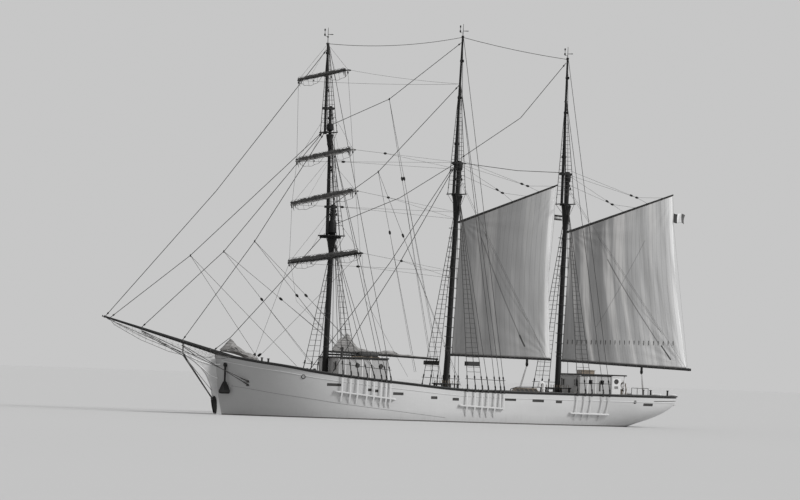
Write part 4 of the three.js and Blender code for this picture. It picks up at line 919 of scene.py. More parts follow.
# Fore-and-aft stays: name, node that it stands for, and the points it passes; a middle point is where it is
# pulled down. The lower main stays are a pair.
stayLines = (
    ("outer_stay", "fore_topgallant_stay", ((21.62, 0, 5.68), (14.9, 0, 13.55), (8.06, 0, 22.6))),
    ("jib_stay", "fore_topmast_stay", ((21.3, 0, 5.62), (16.40, 0, 9.56), (8.14, 0, 17.54))),
    ("inner_jib_stay", "inner_topmast_stay", ((19.32, 0, 5.10), (14.27, 0, 9.90), (8.13, 0, 17.50))),
    ("staysail_stay", None, ((16.7, 0, 4.42), (12.31, 0, 10.61), (8.05, 0, 17.44))),
    ("fore_stay", "forestay", ((14.74, 0, 3.84), (13.62, 0, 4.72), (11.51, 0, 7.06), (7.75, 0, 11.30))),
    ("main_truck_stay", None, ((-0.95, 0, 23.68), (3.81, 0, 19.82), (7.72, 0, 17.93))),
    ("main_topmast_stay", None, ((-0.83, 0, 20.95), (4.37, 0, 15.28), (7.41, 0, 13.02))),
    ("main_middle_stay", None, ((-0.88, 0, 16.15), (2.87, 0, 13.75), (7.43, 0, 11.75))),
    ("main_lower_stays", "main_stay", ((-0.66, 0.12, 15.84), (3.07, 0.83, 9.70), (5.26, 1.33, 6.50),
                                       (7.75, 2.10, 2.75))),
    ("mizzen_truck_stay", "mizzen_topmast_stay", ((-8.13, 0, 22.85), (-5.11, 0, 19.18), (-1.12, 0, 16.42))),
    ("spring_stay", None, ((-1.20, 0, 16.13), (-5.0, 0, 15.86), (-8.32, 0, 15.90))),
)


def makeStays():
    for name, node, points in stayLines:
        kit = Kit()
        for side in (1, -1) if points[0][1] else (1,):
            line = [(x, y * side, z) for x, y, z in points]
            kit.tube(line, ropeSizes["stay"], "wire")
            for at, towards in ((line[0], line[1]), (line[-1], line[-2])):
                run = np.array(towards) - np.array(at)
                run /= np.linalg.norm(run)
                kit.pulley(tuple(np.array(at) + run * 0.25), run, 0.17, "iron")
        kit.make(name, slot="rigging_wire", replaces=(node,) if node else ())


makeStays()

# Sheets and pennants of the headsails and staysails: name, place where the stay is pulled down, the feet on
# deck, and how far down the lead its block hangs.
leads = (
    ("jib_sheets", (16.40, 0, 9.56), ((10.36, 2.9, 3.09), (10.5, -2.9, 3.1)), None),
    ("inner_jib_sheets", (14.27, 0, 9.90), ((6.43, 3.3, 3.3), (6.99, -3.3, 3.27)), 0.42),
    ("staysail_sheets", (12.31, 0, 10.61), ((5.51, 3.4, 3.15), (4.34, -3.4, 3.24)), 0.43),
    ("main_topmast_pennants", (4.37, 0, 15.28), ((-0.23, 3.4, 2.23), (-0.01, -3.4, 3.0)), 0.30),
    ("main_truck_pennants", (3.81, 0, 19.82), ((-0.15, 0.62, 2.35), (-0.15, -0.62, 2.35)), 0.28),
)


def makeLeads():
    for name, top, feet, share in leads:
        kit = Kit()
        for foot in feet:
            kit.tube([top, foot], 0.012, "wire", 5)
            if share:
                block = lerp(top, foot, share)
                kit.pulley(block, np.array(foot) - np.array(top), 0.27)
                kit.tube([block, (foot[0] + 0.12, *foot[1:])], 0.008, "wire", 4)
        kit.pulley(top, (0, 0, 1), 0.16)
        kit.make(name, slot="rigging_wire")


makeLeads()

# Poles above the doublings, each with its truck and the thin staff on it: height and radius.
poles = (
    ("fore_topgallant_mast", "foreTopgallant",
     ((17.5, 0.075), (19.0, 0.08), (22.9, 0.058), (22.93, 0.08), (23.02, 0.08), (23.05, 0.022),
      (23.97, 0.012))),
    ("main_topmast", "mainTop",
     ((14.15, 0.088), (17.0, 0.088), (23.95, 0.062), (23.98, 0.085), (24.07, 0.085), (24.1, 0.022),
      (24.82, 0.012))),
    ("mizzen_topmast", "mizzenTop",
     ((13.90, 0.088), (16.8, 0.088), (23.05, 0.060), (23.08, 0.085), (23.17, 0.085), (23.2, 0.022),
      (23.87, 0.012))),
)
# Hounds: where each mast swells under its crosstrees or top.
hounds = (
    ("foreLower", ((10.25, 0.165), (10.6, 0.23), (11.0, 0.30), (11.06, 0.26))),
    ("foreTop", ((16.55, 0.10), (16.9, 0.16), (17.35, 0.23), (17.42, 0.2))),
    ("foreLower", ((11.25, 0.17), (11.4, 0.27), (12.0, 0.25), (12.15, 0.16))),
    ("foreTop", ((17.6, 0.12), (17.7, 0.22), (18.0, 0.22), (18.1, 0.10))),
    ("mainLower", ((15.62, 0.15), (15.72, 0.22), (16.1, 0.22), (16.2, 0.15))),
    ("mizzenLower", ((15.3, 0.15), (15.4, 0.2), (15.8, 0.2), (15.9, 0.14))),
    ("mainLower", ((12.55, 0.165), (13.2, 0.22), (13.75, 0.27), (14.05, 0.33), (14.12, 0.28))),
    ("mizzenLower", ((12.35, 0.16), (12.95, 0.21), (13.5, 0.26), (13.8, 0.31), (13.87, 0.27))),
)


def makePoles():
    for node, mast, rows in poles:
        (x0, z0), (x1, z1), _ = masts[mast]
        stretch = hypot(x1 - x0, z1 - z0) / (z1 - z0)
        kit = Kit()
        kit.turned([((z - z0) * stretch, r) for z, r in rows], (x0, 0, z0), (x1 - x0, 0, z1 - z0), "spar", 20)
        kit.make(node + "_pole", slot="spar_paint", replaces=(node,))
    kit = Kit()
    for name, rows in hounds:
        z0, z1 = rows[0][0], rows[-1][0]
        x0, x1 = mastAt(name, z0)[0], mastAt(name, z1)[0]
        kit.turned([(z - z0, radius) for z, radius in rows], (x0, 0, z0), (x1 - x0, 0, z1 - z0), "spar", 20)
    kit.make("mast_hounds", slot="spar_paint")


makePoles()

# Yards with their furled sails, footropes and gear, and what leads to them from the masts. Cant in degrees;
# sail: the furled sail's radius; inboard: where the footropes end; lift and braceTo: x and z on the mast;
# blockAt: how far along the brace its block hangs.
yardColumns = ("name", "half", "cant", "radius", "sail", "inboard", "lift", "braceTo", "blockAt")
yardRows = [dict(zip(yardColumns, row)) for row in (
    ("lower", 6.30, 1.8, 0.105, 0.125, 1.50, (7.42, 12.7), (-0.86, 9.25), 0.42),
    ("lower_topsail", 5.65, 2.5, 0.090, 0.112, 1.10, (7.655, 15.85), (-0.95, 12.95), 0.30),
    ("upper_topsail", 4.975, 1.7, 0.085, 0.100, 0.50, (7.70, 18.9), (-1.02, 16.05), 0.28),
    ("topgallant", 4.40, 0.5, 0.068, 0.080, 0.50, (8.02, 22.9), (-0.93, 20.95), None),
)]
tackFoot = {"x": 11.89, "y": 0.45, "z": 3.62}


# The yard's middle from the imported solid, and a function for places along it.
def placeYard(row):
    low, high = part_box("yard_" + row["name"])
    x, z, cant = high.x - row["radius"], (low.z + high.z) / 2, radians(row["cant"])
    row.update(x=x, z=z, body=row["name"] + "_yard_set", rest=(row["radius"] + row["sail"]) * sqrt(0.5))
    row["at"] = lambda y, back=0.0, up=0.0: (x + back, y * cos(cant), z + y * sin(cant) + up)
    row["ends"] = [row["at"](side * row["half"] * 0.97) for side in (1, -1)]


def furledSail(row):
    kit = Kit()
    half = row["half"] * 0.93
    rest = (row["radius"] + row["sail"] * 0.8) * sqrt(0.5)
    rings = []
    steps = int(half * 2 / 0.055)
    phase = random.uniform(0, 6)
    for n in range(steps + 1):
        y = -half + 2 * half * n / steps
        taper = 0.62 + 0.38 * min(1, (half - abs(y)) / (half * 0.66))
        pinch = abs(sin(pi * y / 0.62))
        lump = 1 + 0.16 * sin(3.1 * y + phase) + 0.10 * sin(7.7 * y + phase * 2)
        size = row["sail"] * taper * lump * (0.72 + 0.28 * pinch ** 0.5) * (0.35 if n in (0, steps) else 1)
        ring = []
        for k in range(14):
            a = 2 * pi * k / 14
            crease = 1 + 0.10 * sin(3 * a + 2.2 * y + phase) + 0.06 * sin(5 * a - 5.0 * y)
            ring.append(row["at"](y, rest + size * crease * cos(a), rest * 0.75 + size * crease * sin(a)))
        rings.append(ring)
    kit.rings(rings, "bundle")
    sail = kit.make("furled_sail_" + row["name"], row["body"], "sail_cloth", ("furled_" + row["name"],),
                    sharp=80)


def yardGear(row):
    kit = Kit()
    at, half, radius, rest = row["at"], row["half"], row["radius"], row["rest"]
    around = radius + row["sail"]
    for y in np.arange(-half * 0.88, half * 0.9, 0.62):
        kit.loop(12, lambda c, s: at(y, rest * 0.45 + around * 1.02 * c, rest * 0.42 + around * 0.98 * s),
                 0.010,
                 "bundle")
    for side in (1, -1):
        for h in (0.30, 0.62, 0.985):
            size = radius * (1.06 - 0.5 * max(h - 0.33, 0) / 0.67)
            kit.loop(12, lambda c, s: at(side * half * h, c * size, s * size), 0.014, "iron")
        outer, inner = side * half * 0.95, side * row["inboard"]
        rope = [at(outer + (inner - outer) * t, -radius - 0.05,
                   -0.05 - 0.36 * (1 - abs(2 * t - 1) ** 3) - 0.05 * sin(3 * pi * t) ** 2)
                for t in np.linspace(0, 1, 25)]
        kit.tube(rope, 0.011, "dark", 5)
        for t in (0.2, 0.42, 0.64, 0.85):
            low = rope[int(t * 24)]
            kit.tube([low, (low[0] + radius + 0.02, low[1], low[2] + 0.36)], 0.008, "dark", 4)
        for h, back, up, along, size in ((0.97, 0, -0.14, (0.2, 0, 1), 0.17),
                                         (0.97, -0.12, 0.0, (1, 0, 0), 0.17),
                                         (0.35, 0, -0.2, (0, 0, 1), 0.14)):
            kit.pulley(at(side * half * h, back, up), along, size)
        for h, long in ((0.90, 0.42), (0.84, 0.30)):
            kit.tube([at(side * half * h, 0.05, -0.03), at(side * half * h, 0.03, -long * 0.6),
                      at(side * half * (h - 0.01), 0.0, -long)], (0.03, 0.022, 0.008), "bundle", 5)
        # jackstay along the top of the yard
        kit.tube([at(side * y, -radius * 0.1, radius + 0.025) for y in (0.12, half * 0.33)]
                 + [at(side * half * 0.93, 0, radius * 0.56)], 0.009, "iron", 5)
    kit.slab(at(0, -radius - 0.09), (0.16, 0.22, 0.16), "iron", 0.02)
    kit.make("yard_gear_" + row["name"], row["body"], "rigging_wire")


def yardLines(row):
    x, z, body, ends = (row[key] for key in ("x", "z", "body", "ends"))
    lifts = Kit()
    mastX, mastZ = row["lift"]
    for side, end in zip((1, -1), ends):
        lifts.tube([(mastX, side * 0.12, mastZ), (*end[:2], end[2] + row["radius"] * 0.5)], 0.008, "dark", 5)
        quarter = side * row["half"] * 0.5
        inner = (x, quarter, row["at"](quarter)[2] + row["radius"])
        lifts.tube([(mastX, side * 0.10, mastZ - 0.15), inner], 0.006, "dark", 4)
    lifts.make("lifts_" + row["name"], None, "rigging_wire", blend=(body, (x, 0, mastZ), (x, 0, z + 0.35)))
    braces = Kit()
    toX, toZ = row["braceTo"]
    for side, end in zip((1, -1), ends):
        near = (end[0] - 0.2, *end[1:])
        fast = (toX + 0.12, side * 0.16, toZ + 0.1)
        if row["blockAt"]:
            block = lerp(near, fast, row["blockAt"])
            braces.tube([near, block], 0.009, "dark", 5)
            braces.pulley(block, np.array(fast) - np.array(near), 0.26)
            for drop in (0.0, -0.42):
                braces.tube([block, (*fast[:2], fast[2] + drop)], 0.007, "dark", 4)
        else:
            braces.tube(sagging(near, fast, 0.10), 0.008, "dark", 5)
    braces.make("braces_" + row["name"], None, "rigging_wire",
                blend=(body, (toX + 0.6, 0, z), (x - 0.8, 0, z)))


# Tacks and sheets of the lowest yard, down to the bow and to the waist.
def makeTacks(row):
    kit = Kit()
    for side, end in zip((1, -1), row["ends"]):
        foot = (tackFoot["x"], side * tackFoot["y"], tackFoot["z"])
        kit.tube([end, foot], 0.010, "dark", 5)
        kit.pulley((*foot[:2], foot[2] + 0.08), (-1, side, 1), 0.30)
        kit.tube([(end[0] - 0.1, *end[1:]), (end[0] - 0.5, end[1] * 0.97, 7.2), (3.2, side * 3.1, 2.7)],
                 0.008, "dark", 4)
    kit.make("course_tacks", None, "rigging_wire",
             blend=(row["body"], (11.6, 0, 4.0), (row["x"] + 0.3, 0, row["z"] - 0.5)))


# Lines that hang from each yardarm to the one below, in two halves that meet midway.
def yardarmLines(upper, lower):
    for row, other, name in ((upper, lower, "_hangers"), (lower, upper, "_risers")):
        kit = Kit()
        ends = row["ends"]
        halves = [lerp(end, far, 0.5) for end, far in zip(ends, other["ends"])]
        for end, middle in zip(ends, halves):
            kit.tube([end, middle], 0.009, "dark", 4)
        kit.make(row["name"] + name, None, "rigging_wire",
                 blend=(row["body"], (ends[0][0], 0, halves[0][2]), (ends[0][0], 0, ends[0][2])))


for row in yardRows:
    placeYard(row)
    furledSail(row)
    yardGear(row)
    yardLines(row)
    if row["name"] == "lower":
        makeTacks(row)
for lower, upper in zip(yardRows, yardRows[1:]):
    yardarmLines(upper, lower)
print("yards rigged")


# Height and radius of a spar at a distance along the ship.
def sparAt(spar, x):
    (x0, z0), (x1, z1), (r0, r1) = spar
    t = (x - x0) / (x1 - x0)
    return z0 + (z1 - z0) * t, r0 + (r1 - r0) * t


# Gaff sails. The edges follow the boom and the gaff; folds fan out from the corners. Spars: both ends and
# radii.
gaffRigs = (
    {"name": "main", "boom": ((-0.864, 4.15), (-7.78, 4.08), (0.075, 0.065)),
     "gaff": ((-1.12, 12.42), (-7.816, 15.097), (0.075, 0.045)), "mastX": -0.69, "lean": -0.0299,
     "tack": -0.96, "clew": -7.70, "throat": -1.33, "peak": -7.69, "belly": 0.26,
     "masthead": (-1.18, 15.75), "blocks": ((-4.04, 14.41), (-5.75, 14.93)), "cloth": "sail", "reef": (),
     "spans": ((-4.73, -5.64), (-6.51, -7.45)), "sheetAt": -6.12,
     "sheetFeet": ((-5.30, 0.35, 1.55), (-5.67, -0.3, 1.55))},
    {"name": "mizzen", "boom": ((-8.46, 4.05), (-17.603, 3.76), (0.075, 0.085)),
     "gaff": ((-8.61, 12.16), (-15.962, 14.891), (0.075, 0.045)), "mastX": -8.29, "lean": -0.0183,
     "tack": -8.52, "clew": -17.30, "throat": -8.83, "peak": -15.90, "belly": 0.32,
     "masthead": (-8.62, 15.50), "blocks": ((-11.67, 14.07), (-13.38, 14.59)), "cloth": "mizzenSail",
     "reef": (0.155,),
     "spans": ((-12.45, -13.25), (-14.12, -15.17)), "sheetAt": -14.12,
     "sheetFeet": ((-13.88, 0.9, 1.6), (-14.8, -0.9, 1.6))},
)
sailGrid = {"across": 96, "up": 120, "luff": 10.6, "flatHigh": 11.0, "thick": 0.006, "hoops": 13,
            "lacings": 22}


def sailEdges(rig):
    (g0, h0), (g1, h1), _ = rig["gaff"]
    pitch = cos(atan2(h1 - h0, g1 - g0))

    def foot(x):
        z, radius = sparAt(rig["boom"], x)
        return x, z + radius * 0.94 + 0.015

    def head(x):
        z, radius = sparAt(rig["gaff"], x)
        return x, z - radius * 0.94 / abs(pitch) - 0.015
    return foot, head


def sailFold(s, t):
    # distance that the cloth stands off its smooth belly
    fold = 0.014 * sin(2 * pi * (8 * s + 0.9 * t)) * (1 - s) ** 1.6
    for cs, ct, count, size in ((0, 1, 11, 0.030), (1, 1, 9, 0.022), (1, 0, 10, 0.030), (0, 0, 8, 0.018)):
        ds, dt = abs(s - cs), abs(t - ct) * 1.5
        far = hypot(ds, dt)
        fold += size * sin(count * 2.1 * atan2(dt, ds + 1e-6)) * exp(-far * 3.4) * min(far * 9, 1)
    fold += 0.008 * sin(2 * pi * (1.5 * s + 5 * t)) * sin(pi * s)
    return fold * min(1, 12 * min(s, 1 - s, t, 1 - t) + 0.12)


def sailPoint(rig, s, t, off=0.0):
    foot, head = rig["edges"]
    low = foot(rig["tack"] + (rig["clew"] - rig["tack"]) * s)
    high = head(rig["throat"] + (rig["peak"] - rig["throat"]) * s)
    arch = sin(pi * t)
    hollow = s * 0.025 * (low[0] - high[0]) * arch + s * 0.26 * arch
    belly = -rig["belly"] * max(sin(pi * min(s * 1.05, 1)), 0) ** 0.8 * max(arch, 0) ** 0.8
    return (low[0] + (high[0] - low[0]) * t + hollow, belly + sailFold(s, t) + off,
            low[1] + (high[1] - low[1]) * t)


def makeCloth(name, grid, metres, finish, body, thick, replaces=()):
    kit = Kit()
    kit.rings(grid, finish, closed=False, metres=metres)
    cloth = kit.make(name, body, "sail_cloth", replaces, sharp=180)
    solid = cloth.modifiers.new("cloth", "SOLIDIFY")
    solid.thickness, solid.offset = thick, 0
    return cloth


def makeSail(rig):
    name, body = rig["name"], rig["name"] + "_sail_set"
    across, up = sailGrid["across"], sailGrid["up"]
    grid = np.array([[sailPoint(rig, s / across, t / up) for s in range(across + 1)] for t in range(up + 1)])
    width = abs(rig["clew"] - rig["tack"])
    metres = [[((1 - s / across) * width, t / up * sailGrid["luff"]) for s in range(across + 1)]
              for t in range(up + 1)]
    a, b, c, d = grid[:-1, :-1], grid[:-1, 1:], grid[1:, 1:], grid[1:, :-1]
    area = sum(np.linalg.norm(np.cross(p, q), axis=2).sum() / 2 for p, q in ((b - a, c - a), (c - a, d - a)))
    sail = makeCloth(name + "_sail_cloth", grid, metres, rig["cloth"], body, sailGrid["thick"],
                     (name + "_sail",))
    size = (width, sailGrid["flatHigh"])
    name + "_boom"
    name + "_gaff"
    round(float(min(area, size[0] * size[1])), 1)
    print(name, "sail", round(float(area), 1), "square metres")
    edge = Kit()
    steps = [n / 60 for n in range(61)]
    for line, finish in (([(0, t) for t in steps], "rope"), ([(1, t) for t in steps], "white"),
                         ([(s, 0) for s in steps], "rope"), ([(s, 1) for s in steps], "rope")):
        edge.tube([sailPoint(rig, s, t) for s, t in line], 0.013, finish)
    for height in rig["reef"]:
        for n in range(1, 24):
            for off in (0.02, -0.02):
                x, y, z = sailPoint(rig, n / 25, height, off)
                edge.tube([(x, y, z), (x, y + off * 0.8, z - 0.14), (x + 0.01, y + off * 0.4, z - 0.28)],
                          0.016, "dark", 4)
    # hoops round the mast and lacing along the spars
    for n in range(sailGrid["hoops"]):
        luff = sailPoint(rig, 0, 0.05 + 0.9 * n / (sailGrid["hoops"] - 1))
        middle = rig["mastX"] + rig["lean"] * (luff[2] - rig["boom"][0][1])
        radius = abs(middle - luff[0]) + 0.005
        edge.loop(24, lambda c, s: (middle + radius * c, radius * s, luff[2] + 0.04 * c), 0.012, "dark", 5)
    for key, spar in enumerate((rig["boom"], rig["gaff"])):
        r0, r1 = spar[2]
        for n in range(1, sailGrid["lacings"]):
            share = n / sailGrid["lacings"]
            x = sailPoint(rig, share, key)[0]
            z, r = sparAt(spar, x)[0], r0 + (r1 - r0) * share + 0.012
            edge.loop(10, lambda c, s: (x + 0.02 * s, r * s, z + r * c), 0.006, "rope")
    edge.make(name + "_sail_ropes", body, "sail_cloth")


def makeGaffGear(rig):
    name, body, boom, gaff = rig["name"], rig["name"] + "_sail_set", rig["boom"], rig["gaff"]
    gear, halyards, lifts, sheets = (Kit() for _ in range(4))
    mx, mz = rig["masthead"]
    for (bx, bz), span in zip(rig["blocks"], rig["spans"]):
        for x in span:
            z = sparAt(gaff, x)[0]
            gear.tube([(bx, 0, bz), (x, 0, z + 0.06)], 0.008, "dark", 5)
            gear.loop(10, lambda c, s: (x, 0.07 * s, z + 0.07 * c), 0.012, "iron")
        gear.pulley((bx, 0, bz), (1, 0, 0.15), 0.24)
    (bx, bz), (outX, outZ) = rig["blocks"]
    for y, dz in ((0.05, 0.2), (-0.05, -0.35)):
        halyards.tube([(mx, y, mz + dz), (bx, 0, bz)], 0.008, "dark", 5)
        halyards.tube([(mx, y, mz + 0.45 + dz * 0.5), (outX, 0, outZ)], 0.008, "dark", 5)
    for (x, z), top in zip(rig["blocks"], (mz + 0.1, mz + 0.5)):
        run = np.array((x - mx, 0, z - top)) / hypot(x - mx, z - top)
        halyards.pulley(tuple(np.array((x, 0, z)) - run * 0.40), run, 0.24)
    halyards.make(name + "_peak_halyards", None, "rigging_wire", blend=(body, (mx, 0, mz), (bx, 0, mz)))
    endX = boom[1][0] + 0.35
    endZ = sparAt(boom, endX)[0]
    for side in (1, -1):
        lifts.tube([(mx + 0.1, side * 0.12, mz - 0.6), (endX, side * 0.09, endZ + 0.05)], 0.008, "dark", 5)
    lifts.make(name + "_topping_lifts", None, "rigging_wire",
               blend=(body, (mx, 0, mz - 0.6), (endX, 0, endZ)))
    sheetX = rig["sheetAt"]
    low = sparAt(boom, sheetX)[0] - 0.10
    gear.slab((sheetX, 0, low - 0.06), (0.14, 0.10, 0.22), "spar", 0.03)
    gear.pulley((sheetX, 0, low - 0.24), (0, 0, 1), 0.34)
    for h in (0.02, 0.5, 0.98):
        x = boom[0][0] + (boom[1][0] - boom[0][0]) * h
        z, radius = sparAt(boom, x)
        radius += 0.006
        gear.loop(14, lambda c, s: (x, radius * s, z + radius * c), 0.014, "iron", 5)
    gear.make(name + "_gaff_gear", body, "rigging_wire")
    for x, y, z in rig["sheetFeet"]:
        for d in (-0.03, 0.03):
            sheets.tube([(x + d, y, z), (sheetX + d, 0, low - 0.3)], 0.010, "rope", 5)
        sheets.pulley((x, y, z + 0.08), (0, 0, 1), 0.24)
    foot = rig["sheetFeet"][0]
    sheets.make(name + "_sheets", None, "rigging_wire", blend=(body, (sheetX, 0, foot[2] + 0.3), (sheetX, 0,
            low - 0.35)))


for rig in gaffRigs:
    rig["edges"] = sailEdges(rig)
    makeSail(rig)
    makeGaffGear(rig)
print("gaff sails set")

# Bow: netting and guys under the bowsprit, bobstay fastenings, hawse fittings and anchors. Guys run from the
# spar to the hull, x and z each; bowHoles: x, z, radius and thickness of the hawse fittings and the
# fairleads further aft.
sprit = ((12.4, 3.197), (21.81, 5.70), (0.16, 0.055))
netEdge = ((20.9, 0.46, 5.20), (19.1, 0.80, 4.36), (17.2, 1.12, 3.72), (15.6, 1.42, 3.42),
           (14.55, 1.62, 3.40),
           (13.95, 1.62, 3.58))
guys = (((19.32, 4.90), (12.92, 2.07)), ((16.70, 4.12), (12.90, 1.86)))
bowHoles = ((14.12, 3.02, 0.11, 0.035), (9.95, 2.47, 0.115, 0.026))
trailBoards = (((16.50, 0.125, 3.56), (15.6, 0.13, 3.20), (14.9, 0.15, 3.02), (14.35, 0.33, 3.05)),
               ((15.95, 0.125, 3.22), (15.2, 0.13, 2.62), (14.85, 0.135, 2.35), (14.45, 0.2, 2.20)))
upright, athwart, ahead = (0, 0, 1), (0, 1, 0), (1, 0, 0)


def alongLine(line, t):
    spot = t * (len(line) - 1)
    n = min(int(spot), len(line) - 2)
    return lerp(line[n], line[n + 1], spot - n)


def bowNet(kit, side):
    edge = [(x, side * y, z) for x, y, z in netEdge]
    kit.tube([(21.35, side * 0.06, sparAt(sprit, 21.35)[0])] + edge, 0.012, "wire")
    # the net: cords athwart and two more along
    for t in np.linspace(0.0, 0.99, 22):
        low = alongLine(edge, t)
        x = min(low[0] + 0.25, 21.3)
        z, radius = sparAt(sprit, x)
        top = (x, side * radius * 0.95, z - 0.02)
        middle = lerp(top, low, 0.5)
        kit.tube([top, (*middle[:2], middle[2] - 0.05), low], 0.005, "rope", 4)
    for share in (0.35, 0.68):
        cord = []
        for t in np.linspace(0.0, 0.98, 14):
            low = alongLine(edge, t)
            top = (low[0] + 0.25 * (1 - share), side * 0.1, sparAt(sprit, low[0])[0])
            cord.append(tuple(np.array(lerp(top, low, share)) - (0, 0, 0.04)))
        kit.tube(cord, 0.005, "rope", 4)


def makeBow():
    kit = Kit()
    (x0, z0), (x1, z1), _ = sprit
    for x in (14.95, 16.70, 19.32, 21.35, 21.66):
        z, radius = sparAt(sprit, x)
        kit.band((x, 0, z), (x1 - x0, 0, z1 - z0), 0.04, radius, 0.012)
    kit.turned([(-0.02, 0.055), (0.0, 0.062), (0.03, 0.05), (0.045, 0.0)], (21.765, 0, 5.6884),
               (9.41, 0, 2.503), "stem")
    for side in (1, -1):
        bowNet(kit, side)
        for (x, z), (footX, footZ) in guys:
            foot = onSide(footX, footZ, side, 0.05)
            start = (x, side * 0.10, z)
            turnbuckle = lerp(foot, start, 0.075)
            kit.tube([turnbuckle, start], 0.022, "wire")
            kit.tube([foot, lerp(foot, start, 0.02)], 0.03, "iron")
            kit.tube([lerp(foot, start, 0.015), turnbuckle], 0.032, "iron", 8)
            kit.slab(onSide(footX, footZ, side, 0.02), (0.22, 0.05, 0.14), "iron", 0.015)
        for x, z, radius, thick in bowHoles:
            kit.hoop(onSide(x, z, side, 0.006), planking(x, z, side), radius, thick, "iron")
            # a dark disc just inside the hawse ring: painted shade in the hole
            if thick > 0.03:
                kit.turned([(0.0, radius), (0.004, radius * 0.98), (0.004, 0.0)], onSide(x, z, side, 0.001),
                           (0.12, side, 0.1), "dark", 18)
    # plates on the stem where the bobstays are shackled
    for side in (1, -1):
        rows = ((1.12, 0.03), (1.05, 0.09), (0.85, 0.14), (0.45, 0.12), (0.15, 0.07), (0.05, 0.03))
        kit.rings([[(14.58 - (0.98 - z) * 0.12 + a * half, side * (0.135 + b * 0.015), z) for a, b in square]
                   for z, half in rows], "spar")
    kit.turned([(-0.16, 0.03), (0.16, 0.03)], (14.70, 0, 0.97), athwart, "iron", 10)
    for y, half in ((0.09, 0.05), (-0.09, -0.05)):
        kit.tube([(14.66, y, 0.95), (16.62, half, 3.50), (19.31, 0, 4.80)], 0.021, "wire")
    kit.tube([(14.64, 0, 1.35), (16.46, 0, 3.36), (16.66, 0, 3.64)], 0.016, "iron")
    # trailing boards on the knee
    for side in (1, -1):
        for line, size in zip(trailBoards, (0.03, 0.025)):
            kit.tube([(x, side * y, z) for x, y, z in line], size, "white", 8)
    kit.make("bow_gear", slot="rigging_wire")


# Palms of an anchor, hove up against its shank: height, offset, half width and depth.
palm = ((1.38, 0.17, 0.15, 0.12), (1.46, 0.18, 0.16, 0.12), (1.62, 0.15, 0.12, 0.10),
        (1.85, 0.11, 0.07, 0.07),
        (2.02, 0.08, 0.02, 0.03))
palmEdge = ((-1, -0.6), (0, -1), (1, -0.6), (1, 0.6), (0, 1), (-1, 0.6))


def makeAnchors():
    for name, side in (("anchor_port", 1), ("anchor_starboard", -1)):
        kit = Kit()
        low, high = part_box(name)
        x, y = 14.15, side * (min(abs(low.y), abs(high.y)) + 0.17)
        kit.turned([(0, 0.05), (0.05, 0.062), (0.9, 0.058), (1.5, 0.08), (1.66, 0.05)], (x, y, 3.06),
                   (0, 0, -1), "spar", 12)
        kit.turned([(-0.34, 0.07), (-0.30, 0.12), (0.30, 0.12), (0.34, 0.07)], (x, y, 1.40), ahead, "spar",
                   12)
        kit.hoop((x, y, 3.06), ahead, 0.075, 0.02, "iron")
        kit.tube([(x, y, 3.02), (x, side * (halfBreadth(x, 3.02) - 0.02), 3.04)], 0.03, "iron", 8)
        for way in (1, -1):
            kit.rings([[(x + way * (off + a * half), y + b * deep, z) for a, b in palmEdge]
                       for z, off, half, deep in palm], "spar")
        kit.make(name + "_forged", slot="galvanised_steel", replaces=(name,))


# Heaps of lowered cloth: rows along the ship of x, half width, foot and top, roughened into folds. On the
# boom the foot and the top are measured from it.
headsailHeap = ((14.25, 0.12, 3.82, 3.95), (13.95, 0.30, 3.80, 4.28), (13.64, 0.36, 3.76, 4.66),
                (13.3, 0.40, 3.70, 4.32),
                (12.95, 0.36, 3.60, 4.02), (12.6, 0.24, 3.45, 3.86), (12.2, 0.16, 3.35, 3.70),
                (11.9, 0.08, 3.30, 3.52))
staysailHeap = ((6.95, 0.05, 0.22), (6.5, 0.10, 0.74), (6.1, 0.13, 1.10), (5.8, 0.13, 0.84),
                (5.4, 0.115, 0.32),
                (4.4, 0.09, 0.15), (3.8, 0.10, 0.17), (3.5, 0.13, 0.27), (2.9, 0.13, 0.25), (2.6, 0.05, 0.08),
                (1.9, 0.05, 0.10), (1.7, 0.04, 0.05), (0.5, 0.035, 0.04))
staysailBoom = ((7.23, 4.07), (-0.06, 3.836), (0.06, 0.06))


def clothHeap(name, rows, body, node, lean, count=90, around=48, flow=7.0):
    kit = Kit()
    columns = list(zip(*rows[::-1]))
    rings = []
    for n in range(count + 1):
        x = rows[0][0] + (rows[-1][0] - rows[0][0]) * n / count
        half, low, high = (float(np.interp(x, columns[0], column)) for column in columns[1:])
        ring = []
        for k in range(around):
            a = 2 * pi * k / around
            rise = (sin(a) + 1) / 2
            fold = (1 + 0.10 * sin(flow * a + 5.2 * x) + 0.07 * sin(2.3 * flow * a - 9.0 * x)
                    + 0.05 * sin(17 * x + 3 * a))
            wide = half * (1 - lean * rise ** 1.5) * fold
            ring.append((x + 0.05 * sin(4 * a + 3 * x), wide * copysign(abs(cos(a)) ** 0.8, cos(a)),
                         low + (high - low) * (rise * (1 + 0.06 * sin(11 * x + 3 * a) * rise))))
        rings.append(ring)
    kit.rings(rings, "heap")
    kit.make(name, body, "sail_cloth", (node,), sharp=70)


def makeHeaps():
    clothHeap("headsail_heap", headsailHeap, "hull", "headsail_lowered", 0.55)
    rows = [(x, half, sparAt(staysailBoom, x)[0] + 0.045, sparAt(staysailBoom, x)[0] + 0.05 + high)
            for x, half, high in staysailHeap]
    clothHeap("staysail_heap", rows, "staysail_set", "staysail_lowered", 0.5)
    kit = Kit()
    for x in np.arange(2.75, 5.3, 0.4):
        z = sparAt(staysailBoom, x)[0]
        kit.loop(12, lambda c, s: (x, 0.125 * c, z + 0.07 + 0.14 * s), 0.01, "dark", 5)
    for x in (0.02, 3.6, 7.05):
        kit.band((x, 0, sparAt(staysailBoom, x)[0]), (7.29, 0, 0.234), 0.04, 0.062, 0.010, sides=14,
                 ease=0.01)
    kit.pulley((0.05, 0, 3.70), upright, 0.2)
    kit.make("staysail_gaskets", "staysail_set", "rigging_wire")


